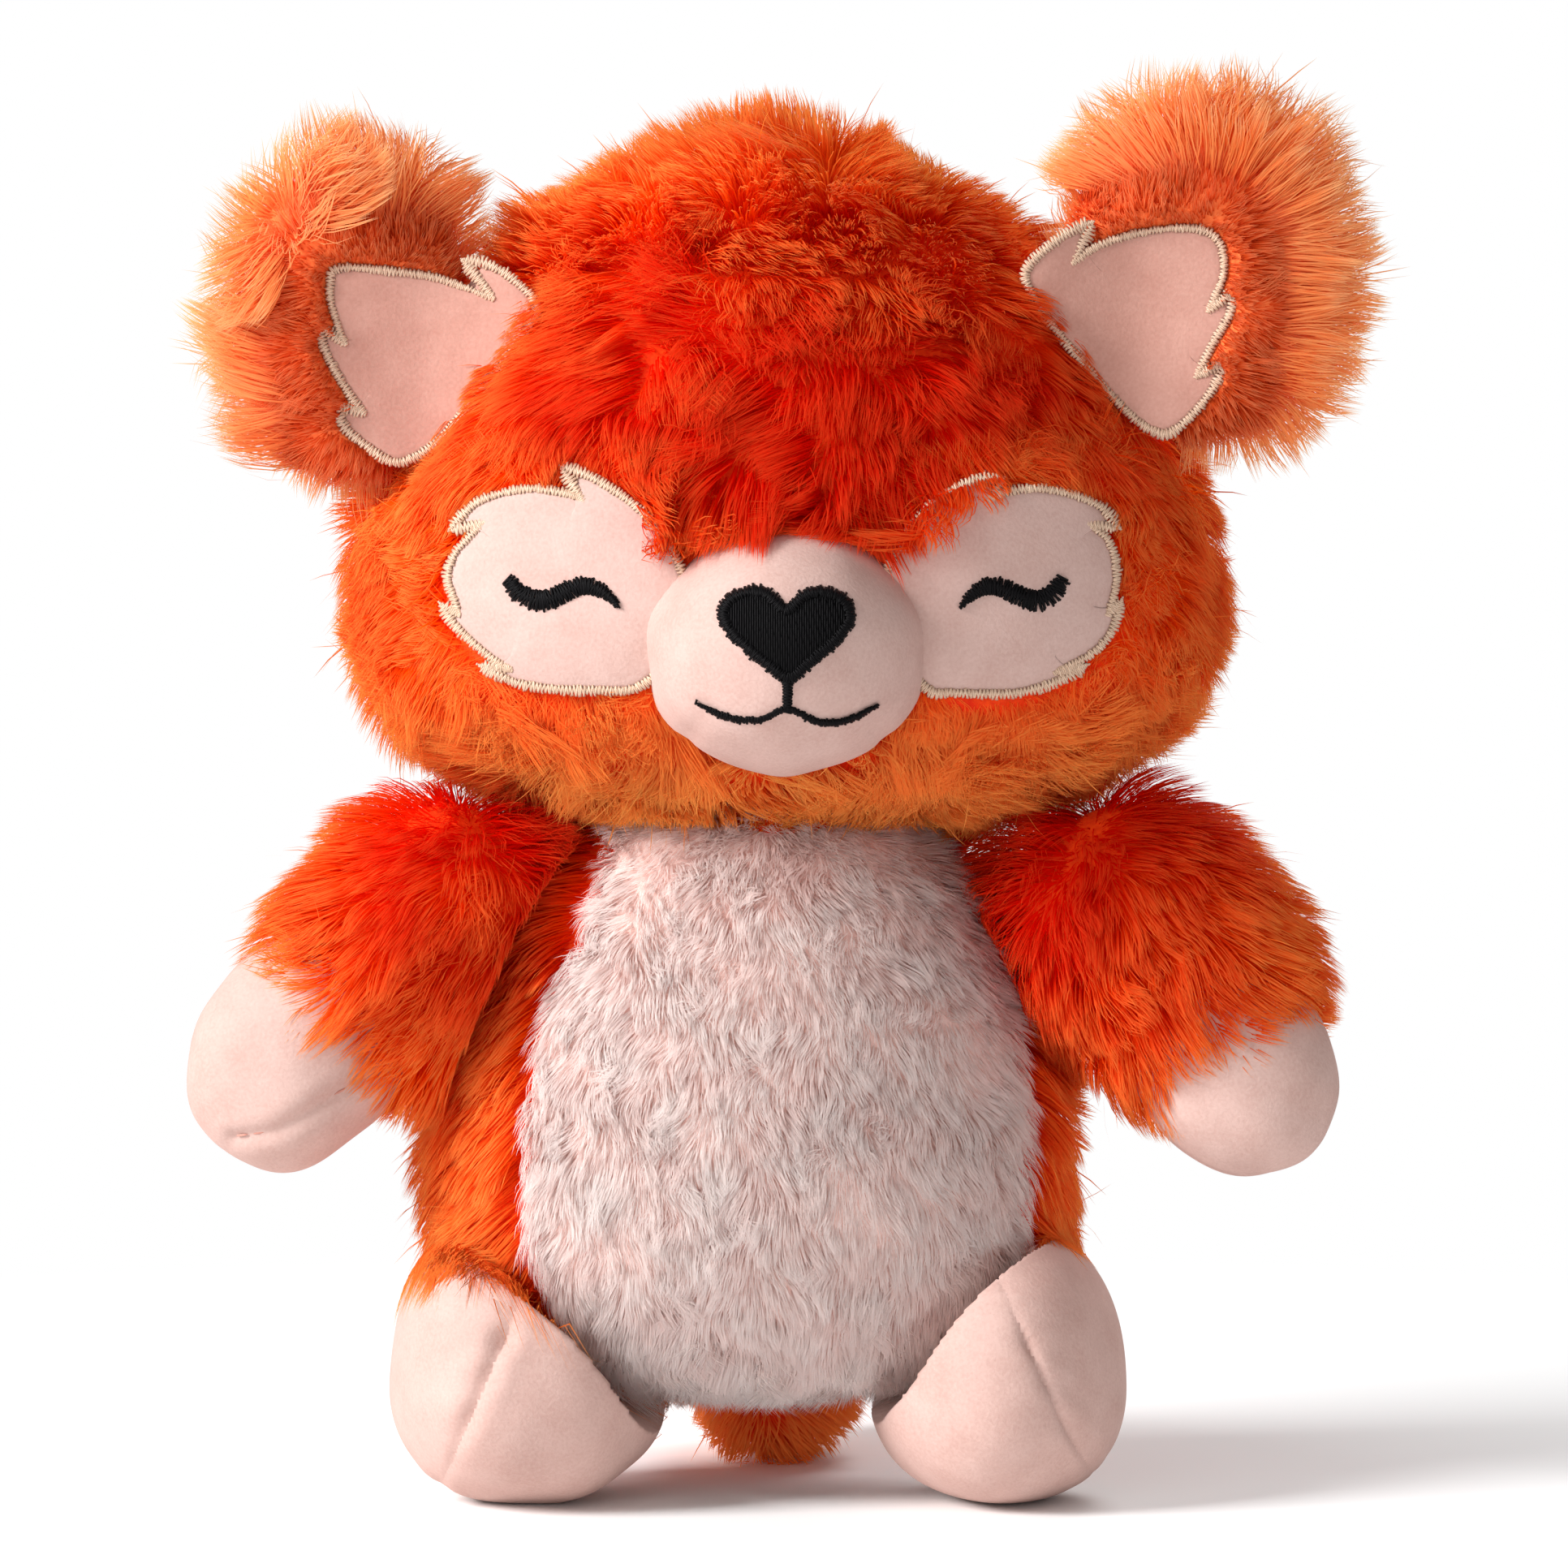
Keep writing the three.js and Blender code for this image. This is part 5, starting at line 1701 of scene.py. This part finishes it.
@dataclass
class Torso(Piece):
    """The body's cover, its belly panel, filling and squeaker."""

    skin: Egg = field(default_factory=lambda: BODY.grown(-PILE_HEIGHT))
    belly_x: float = -1.5
    belly_z: float = 76.0
    belly_half_width: float = 48.5
    belly_half_height: float = 60.0
    belly_thickness: float = 0.6
    pile: Pile = Pile(length=14.5, density=2.0, width=0.28, root_lift=62, tip_lift=16)
    belly_pile: Pile = Pile(length=8.5, density=5.2, width=0.24, root_lift=66, tip_lift=26, tuft=6.0, lock=1.6,
                            gather=0.38, tousle=0.5, swirl=14, segments=3, soft=0.92, stray=0.0)

    @property
    def belly(self) -> Array:
        """Returns the belly panel's edge, seen from the front."""
        return shares_to_outline(BELLY_SHARES, self.belly_x, self.belly_z, self.belly_half_width,
                                 self.belly_half_height, -1, step=2.0)

    def in_belly(self, points: Array) -> Array:
        """Returns which points lie in the belly panel."""
        return (points[:, 1] < 0) & inside_outline(points[:, [0, 2]], self.belly)

    def build(self) -> None:
        """Makes the torso."""
        self.cover("body_cover", self.skin, "body_shell", sides=96, rings=60, seed=12)
        self.build_belly()
        self.filling("body_stuffing", BODY.grown(-STUFFING_DEPTH), "body_filling", seed=5)
        for node in ("squeaker_bulb", "squeaker_reed"):
            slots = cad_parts[node].data.materials
            slots.clear()
            slots.append(self.wardrobe[Cloth.PLASTIC])
        inside_head = HEAD.grown(-16)
        self.fur("body_pile", self.skin, self.pile, Cloth.ORANGE_PILE, self.comb, 300,
                 keep=lambda p: ~self.in_belly(p) & (inside_head.level(p) > 1), depth=self.depth,
                 scale=lambda p: 1 + (0.35 + 0.4 * smooth_step(p[:, 0], 0, 20)) * self.shoulder(p),
                 limit=self.over_feet)
        self.fur("belly_pile", self.skin.grown(0.6), self.belly_pile, Cloth.BELLY_PILE,
                 combed_along(0, -0.1, -1), 310,
                 keep=lambda p: self.in_belly(p) & (inside_head.level(p) > 1),
                 scale=lambda p: 1 + 0.5 * smooth_step(-p[:, 2], -46, -30),
                 depth=even(0.35), limit=self.over_feet)

    @staticmethod
    def over_feet(points: Array) -> Array:
        """Pile that meets a foot lies over it, save in the gap that the foot swings in."""
        made = above_floor(points)
        for foot, hip in ((LEFT_FOOT.grown(0.5), LEFT_HIP), (RIGHT_FOOT.grown(0.5), RIGHT_HIP)):
            out = push_out(made, foot)
            free = Swing(BODY.grown(-PILE_HEIGHT), hip, (-1, 0, 0), *LEG_SWING).level(out) > 1
            made[free] = out[free]
        return above_floor(made)

    def build_belly(self) -> None:
        """Makes the belly panel's cloth, just over the body's own."""
        points, faces = self.skin.grown(0.7).grid(96, 60)
        points, faces = only(points, [f for f in faces if self.in_belly(points[list(f)]).all()])
        points = points + self.skin.normal(points) * wander(points, 22, 12)[:, :1] * 0.8
        made = surface("belly_cover", points, faces, self.wardrobe[Cloth.BELLY_CLOTH])
        thick = made.modifiers.new("thickness", "SOLIDIFY")
        thick.thickness = self.belly_thickness * METRE
        thick.offset = -1
        self.place(made, Cloth.BELLY_CLOTH, "belly_panel", fill=0.8)

    @staticmethod
    def comb(points: Array) -> Array:
        """Pile flows down and a little outwards."""
        side = np.sign(points[:, 0] - BODY.x)
        out = side * smooth_step(np.abs(points[:, 0] - BODY.x), 10, 50)
        top = Torso.shoulder(points)
        return unit(np.stack([0.45 * out + 1.4 * top * side, -0.4 * top, 1.7 * top - 1], axis=1))

    @staticmethod
    def shoulder(points: Array) -> Array:
        """Returns 1 on the shoulders, where the pile fills the gap between the head and the sleeves."""
        return smooth_step(points[:, 2], 108, 118) * smooth_step(np.abs(points[:, 0] - BODY.x), 26, 36)

    @staticmethod
    def depth(points: Array) -> Array:
        """The body is reddest below the arms and paler lower down."""
        return -0.4 + 1.1 * smooth_step(points[:, 2], 70, 120)


@dataclass
class Neck(Piece):
    """The neck, a ball of filling in a cloth tube."""

    def build(self) -> None:
        """Makes the neck."""
        form = Egg(*NECK, 25.5, 25.5, 25.5, 25.5)
        self.cover("neck_cover", form, "neck_filling", lump=0.2, sides=48, rings=32, seed=14)


@dataclass
class Arm(Sided, Piece):
    """One arm: a plush sleeve and a velour paw."""

    side: int = -1
    sleeve: Egg = Egg(-70, -15, 110, 27, 21, 33, 33, 2.4, 2.5, 42, 8, -1)
    paw: Egg = Egg(-93.5, -19, 90, 20, 16.5, 25, 25.5, 2.1, 2.2, 38, 8, -1)
    hinge: Place = (-52, -12, 116)
    lean: float = 25.0
    seam: tuple[Point, ...] = ((-106.5, 72.8), (-99.1, 74.3), (-93.8, 77), (-89, 80), (-82, 84.0))
    pile: Pile = Pile(length=15, density=2.4, width=0.27, root_lift=64, tip_lift=20, tuft=9)

    @property
    def swings(self) -> list[Swing]:
        """Returns what the arm stays clear of as it hugs."""
        axis = seam_axis(self.lean, self.side)
        return [Swing(BODY.grown(-PILE_HEIGHT + 1.2), self.hinge, axis, *ARM_SWING),
                Swing(HEAD.grown(-PILE_HEIGHT + 0.6), self.hinge, axis, *ARM_SWING)]

    @property
    def up(self) -> Array:
        """Returns the sleeve's own way up, towards the shoulder."""
        return self.sleeve.turn @ np.array([0, 0, 1.0])

    def along(self, points: Array) -> Array:
        """Returns how far along the sleeve points lie: -1 at the cuff, 1 at the shoulder."""
        return ((points - self.sleeve.centre) @ self.up) / self.sleeve.above

    def build(self) -> None:
        """Makes the arm."""
        label = self.label
        skin = self.sleeve.grown(-5.0)
        self.cover(f"{label}_sleeve_cover", skin, f"{label}_sleeve", self.swings, seed=15)
        self.build_paw()
        self.filling(f"{label}_arm_stuffing", self.sleeve.grown(-STUFFING_DEPTH), f"{label}_arm_filling",
                     self.swings)
        self.fur(f"{label}_sleeve_pile", skin, self.pile, Cloth.ORANGE_PILE, self.comb, 400 + self.side,
                 keep=lambda p: (self.paw.grown(-4).level(p) > 1) & (BODY.grown(-12).level(p) > 1),
                 depth=self.depth, upright=self.upright, scale=lambda p: 1 + 0.15 * self.at_shoulder(p),
                 limit=lambda p: pull_clear(p, self.sleeve.centre, self.swings[:1]))

    def comb(self, points: Array) -> Array:
        """Pile flows from the shoulder to the cuff."""
        out = (points - self.sleeve.centre) / 60
        inwards = np.array([-self.side * 1.5, -0.3, 0.35]) + self.up
        return unit(out * [0.6, 0.3, 0.2] - self.up + self.at_shoulder(points)[:, None] * inwards)

    def at_shoulder(self, points: Array) -> Array:
        """Returns 1 at the sleeve's end by the body, where its pile covers the gap between them."""
        return smooth_step(self.along(points), 0.45, 0.8) * smooth_step(-np.abs(points[:, 0]), -64, -52)

    def depth(self, points: Array) -> Array:
        """The sleeve is reddest near the shoulder and palest at its cuff."""
        inner = smooth_step(-self.side * points[:, 0], -95, -55)
        return 0.16 + smooth_step(self.along(points), -0.6, 0.7) * (0.35 + 0.65 * inner)

    def upright(self, points: Array) -> Array:
        """Pile stands up at the shoulder's end, where it fills the gap to the body."""
        along = self.along(points)
        lying = 12 * smooth_step(along, 0.4, 0.8) * (1 - self.at_shoulder(points))
        return 8 * smooth_step(along, 0.66, 0.92) - lying

    def build_paw(self) -> None:
        """Makes the paw, with its seam and the seam's stitches."""
        label, paw = self.label, self.paw
        points, faces = paw.grid(144, 110)
        flat = points[:, [0, 2]]
        if self.seam:
            paw_line = curve_through(self.seam, 0.6, closed=False)
            gap = np.min(np.linalg.norm(flat[:, None, :] - paw_line[None, ::2, :], axis=2), axis=1)
            gap = np.where(points[:, 1] < paw.y, gap, 1e3)
        else:
            paw_line = np.zeros((0, 2))
            gap = np.abs(((points - paw.centre) @ paw.turn)[:, 1])
        normal = paw.normal(points)
        crease = 0.8 * np.exp(-(gap / 1.3) ** 2) - 0.35 * np.exp(-((gap - 3.5) / 2) ** 2)
        points = points - normal * crease[:, None]
        points = points + normal * wander(points, 20, 41 + self.side)[:, :1] * 0.5
        points = pull_clear(points, paw.centre, self.swings)
        self.make(f"{label}_paw_cover", points, faces, Cloth.VELOUR, f"{label}_paw", fill=0.85)
        parts = []
        for start in range(0, len(paw_line) - 5, 6):
            stretch = paw_line[start:start + 5]
            local = np.stack([stretch[:, 0], np.full(len(stretch), paw.y), stretch[:, 1]], axis=1)
            parts.append(self.seam_stitch(local))
        if parts:
            self.stitch(f"{label}_paw_seam", parts, Cloth.SEAM_THREAD)

    def seam_stitch(self, points: Array) -> Stitches:
        """Returns one running stitch laid on the paw's front."""
        lows, highs = points.copy(), points.copy()
        lows[:, 1] = self.paw.y - 40
        for _ in range(18):
            middle = (lows + highs) / 2
            inside = self.paw.level(middle) < 1
            highs[inside], lows[~inside] = middle[inside], middle[~inside]
        line = highs
        normal = self.paw.normal(line)
        way = unit(np.gradient(line, axis=0))
        across = unit(np.cross(way, normal))
        count = len(line)
        taper = np.sin(np.linspace(0.35, math.pi - 0.35, count))[:, None]
        rows = []
        for turn in np.linspace(0, 2 * math.pi, 6, endpoint=False):
            rows.append(line + across * math.cos(turn) * 0.26 * taper
                        + normal * (math.sin(turn) * 0.22 * taper - 0.72))
        ring = np.stack(rows, axis=1).reshape(-1, 3)
        faces = tube(count, 6) + [tuple(range(6)), tuple((count - 1) * 6 + j for j in range(5, -1, -1))]
        # An even half share of the painted highlight along the seam's stitches.
        return ring, faces, np.full(len(ring), 0.5)


@dataclass
class Foot(Sided, Piece):
    """One velour foot, sewn from two panels with a leaning seam over the toe."""

    side: int = -1
    form: Egg = LEFT_FOOT
    seam_offset: float = 9.0
    seam_lean: float = 22.0
    crease: float = 1.1
    crease_width: float = 1.2
    pinch: float = 1.5
    swell: float = 0.35
    hinge: Place = LEFT_HIP

    @property
    def swings(self) -> list[Swing]:
        """Returns what the foot stays clear of as it swings."""
        return [Swing(BODY.grown(-PILE_HEIGHT + 1.2), self.hinge, (-1, 0, 0), *LEG_SWING)]

    def seam_gap(self, points: Array) -> Array:
        """Returns the distance of points from the plane of the seam, positive towards +X."""
        a = math.radians(self.seam_lean)
        place = np.array([self.form.x + self.side * self.seam_offset, self.form.y, self.form.z])
        return (points - place) @ np.array([math.cos(a), 0, -math.sin(a)])

    def build(self) -> None:
        """Makes the foot's two panels and its filling."""
        form, label = self.form, self.label
        points, faces = form.grid(224, 150)
        normal = form.normal(points)
        gap = self.seam_gap(points)
        front = smooth_step(-points[:, 1], -form.y - 5, -form.y + 12)
        shown = front * smooth_step(points[:, 2], 4, 22) * smooth_step(-points[:, 2], -42, -33) + 0.22
        crease = self.crease * shown * np.exp(-(np.abs(gap) / self.crease_width) ** 1.2)
        swell = self.swell * self.crease * shown * np.exp(-((np.abs(gap) - 3.2) / 2.4) ** 2)
        along = points[:, 2] * 0.9 + points[:, 1] * 0.6
        pucker = 0.16 * np.sin(along * 2 * math.pi / 6.3) * np.exp(-(np.abs(gap) / 5) ** 2)
        top = np.array([self.form.x + self.side * self.seam_offset, self.form.z + 10.5])
        top[0] += math.tan(math.radians(self.seam_lean)) * 10.5
        pinch = self.pinch * np.exp(-(np.linalg.norm(points[:, [0, 2]] - top, axis=1) / 3.2) ** 2) * front
        soft = wander(points, 30, 51 + self.side)[:, 0] * 0.7
        points = points + normal * (soft + pucker + swell - crease - pinch)[:, None]
        points = above_floor(pull_clear(points, form.centre, self.swings))
        on_toe = [(gap[list(f)] * -self.side > 0).sum() * 2 > len(f) for f in faces]
        for name, node, toe in (("toe_cover", "foot_toe_panel", True), ("side_cover", "foot_side_panel", False)):
            own = only(points, [f for f, chosen in zip(faces, on_toe) if chosen == toe])
            self.make(f"{label}_foot_{name}", *own, Cloth.VELOUR, f"{label}_{node}", fill=0.85)
        self.filling(f"{label}_foot_stuffing", form.grown(-3.0), f"{label}_foot_filling", self.swings)


@dataclass
class Tail(Piece):
    """The short thick tail that props the toy from behind."""

    form: Egg = Egg(-2, 54, 19.66, 19, 19.5, 31, 31, 2.2, 2.2, lift=-76)
    hinge: Place = (-2, 34, 30)
    pile: Pile = Pile(length=13.0, density=1.9, width=0.32, root_lift=52, tip_lift=12, tuft=7)

    @property
    def swings(self) -> list[Swing]:
        """Returns what the tail stays clear of as it wags."""
        return [Swing(BODY.grown(-PILE_HEIGHT + 0.6), self.hinge, (0, 0, 1), *TAIL_WAG)]

    def build(self) -> None:
        """Makes the tail."""
        skin = self.form.grown(-5.5)
        self.cover("tail_skin", skin, "tail_cover", self.swings, seed=16)
        self.filling("tail_stuffing", self.form.grown(-STUFFING_DEPTH), "tail_filling", self.swings)
        # The tail's pile is made much paler: partly its own colour, partly painted light lifting the shade the tail
        # lies in.
        self.fur("tail_pile", skin, self.pile, Cloth.ORANGE_PILE, self.comb, 500,
                 keep=lambda p: BODY.grown(-10).level(p) > 1, depth=even(-1.1))

    def comb(self, points: Array) -> Array:
        """Pile flows to the tip."""
        return unit(np.array([[0, 1.0, -0.25]]) + (points - self.form.centre) / 80)


# Stage

@dataclass
class Studio:
    """Floor, soft lights and camera."""

    distance: float = 1.6
    elevation: float = 3.0
    lens: float = 186.3
    aim: Place = (0.0, 0.0, 140.0)
    room_light: float = 0.34
    room_seen: float = 0.66
    fade_from: float = 0.12
    fade_to: float = 0.42

    def build(self) -> None:
        """Makes the stage."""
        self.floor()
        self.light("key_light", (-2.05, -1.05, 1.35), 1.1, 100.0)
        self.light("front_light", (-0.8, -2.2, 0.2), 1.4, 21.0)
        self.light("back_light", (0.6, 1.3, 1.6), 1.0, 16.0)
        self.surroundings()
        self.camera()

    def target(self) -> Vector:
        """Returns what the camera aims at, in metres."""
        return Vector(to_frame(np.array([self.aim]))[0])

    def floor(self) -> None:
        """Lays the pale floor."""
        points, faces = Egg(0, 0, -0.4, 9000, 9000, 0.2, 0.2).grid(96, 2)
        mesh = bpy.data.meshes.new("floor")
        ring = [tuple(p * METRE) for p in points[1:-1]]
        mesh.from_pydata([(x, y, 0.0) for x, y, _ in ring], [], [tuple(range(len(ring)))])
        material, nodes, shader = new_material("pale_floor")
        cloud = nodes.spread(nodes.lumps(900.0, 2.0), 0.3, 0.7)
        pale = nodes.mix(cloud, linear(250, 250, 250), linear(254, 254, 254))
        nodes.values(shader, Base_Color=pale, Roughness=0.9, Specular_IOR_Level=0.1)
        place = nodes.add("ShaderNodeTexCoord").outputs["Object"]
        length = nodes.add("ShaderNodeVectorMath", operation="LENGTH")
        nodes.link(place, length.inputs[0])
        far = nodes.spread(length.outputs["Value"], self.fade_from, self.fade_to)
        nodes.blend(far, shader, nodes.add("ShaderNodeEmission"))
        mesh.materials.append(material)
        new_object("floor", mesh)

    def light(self, name: str, place: Place, size: float, power: float) -> None:
        """Adds one soft light that faces the toy."""
        lamp = bpy.data.lights.new(name, "AREA")
        lamp.size, lamp.energy = size, power
        made = new_object(name, lamp)
        made.location = place
        made.rotation_euler = (self.target() - Vector(place)).to_track_quat("-Z", "Y").to_euler()

    def surroundings(self) -> None:
        """Sets the white surroundings."""
        scene = bpy.context.scene
        world = bpy.data.worlds.new("white_room")
        world.use_nodes = True
        nodes = Nodes(world.node_tree)
        back = world.node_tree.nodes["Background"]
        back.inputs["Color"].default_value = (1, 1, 1, 1)
        seen = nodes.add("ShaderNodeLightPath").outputs["Is Camera Ray"]
        bright = nodes.math("ADD", nodes.math("MULTIPLY", seen, self.room_seen), self.room_light)
        nodes.link(bright, back.inputs["Strength"])
        scene.world = world
        scene.view_settings.view_transform = "Standard"

    def camera(self) -> None:
        """Sets the camera at the photograph's viewing angle."""
        lens = bpy.data.cameras.new("camera")
        lens.lens, lens.sensor_width = self.lens, 36.0
        lens.clip_start, lens.clip_end = 0.05, 100.0
        made = new_object("camera", lens)
        a = math.radians(self.elevation)
        back = Vector((0, -math.cos(a), math.sin(a)))
        made.location = self.target() + back * self.distance
        made.rotation_euler = (-back).to_track_quat("-Z", "Y").to_euler()
        bpy.context.scene.camera = made


def main() -> None:
    """Builds the toy and its stage."""
    logging.basicConfig(level=logging.INFO, format="%(message)s")
    wardrobe = Wardrobe()
    Studio().build()
    Torso(wardrobe, "torso").build()
    Neck(wardrobe, "neck").build()
    left_ear = Ear(wardrobe, "left_ear", edging=Edging(
        tips=((-90.6, 230.9), (-87.4, 215.3), (-62.4, 243.0)),
        inners=((-84.9, 226.4), (-81.1, 213.1), (-56.0, 235.3)),
        runs=(((-62.4, 243.0), (-57.3, 242.0), (-52.3, 239.1), (-47.8, 234.1), (-50.0, 229.0), (-56.0, 221.0),
               (-64.0, 211.0), (-70.0, 205.5), (-75.4, 203.7), (-80.8, 206.8), (-85.2, 210.6), (-87.4, 215.3)),
              ((-81.1, 213.1), (-83.3, 215.6), (-86.5, 220.8), (-89.0, 225.8), (-90.6, 230.9)),
              ((-84.9, 226.4), (-87.4, 233.5), (-87.8, 238.5), (-85.9, 241.3), (-73.8, 240.4), (-67.5, 239.4),
               (-61.8, 237.5), (-56.0, 235.3)))))
    right_ear = Ear(wardrobe, "right_ear", side=1, x=80.5, z=240, half_width=32.5, above=38, below=38,
                    panel_x=67, panel_z=230, panel_half_height=21, hinge=(58.1, -26.0, 233.0), lean=30,
                    star=(78.0, 285.0), edging=Edging(
        tips=((59.9, 250.2), (88.1, 237.8), (86.5, 224.2)),
        inners=((55.8, 242.0), (82.1, 232.8), (79.8, 220.1)),
        runs=(((59.9, 250.2), (56.4, 248.9), (51.3, 245.5), (46.5, 240.1), (50.0, 233.0), (57.0, 224.0),
               (66.0, 214.0), (71.0, 210.0), (74.8, 209.3), (79.8, 213.7), (83.6, 218.8), (86.5, 224.2)),
              ((79.8, 220.1), (83.3, 227.1), (86.2, 232.2), (88.1, 237.8)),
              ((82.1, 232.8), (83.6, 235.9), (85.2, 241.0), (84.3, 246.1), (81.1, 248.6), (75.4, 248.9),
               (67.2, 247.7), (60.2, 245.2), (55.8, 242.0)))))
    Head(wardrobe, "head", ear_panels=(left_ear.outline, right_ear.outline)).build()
    left_ear.build()
    right_ear.build()
    Arm(wardrobe, "left_arm").build()
    Arm(wardrobe, "right_arm", side=1, sleeve=Egg(72.5, -15, 109, 27, 21, 34, 34, 2.4, 2.5, 40, 8, 1),
        paw=Egg(87, -19, 87.5, 19, 16.5, 24, 24, 2.1, 2.2, 32, 8, 1), hinge=(42, -12, 116), lean=17,
        seam=()).build()
    Foot(wardrobe, "left_leg").build()
    Foot(wardrobe, "right_leg", side=1, form=RIGHT_FOOT, seam_offset=10.5,
         seam_lean=-25, hinge=RIGHT_HIP, crease=0.9, crease_width=0.7, pinch=0.3, swell=0.1).build()
    Tail(wardrobe, "tail").build()


if __name__ == "__main__":
    main()
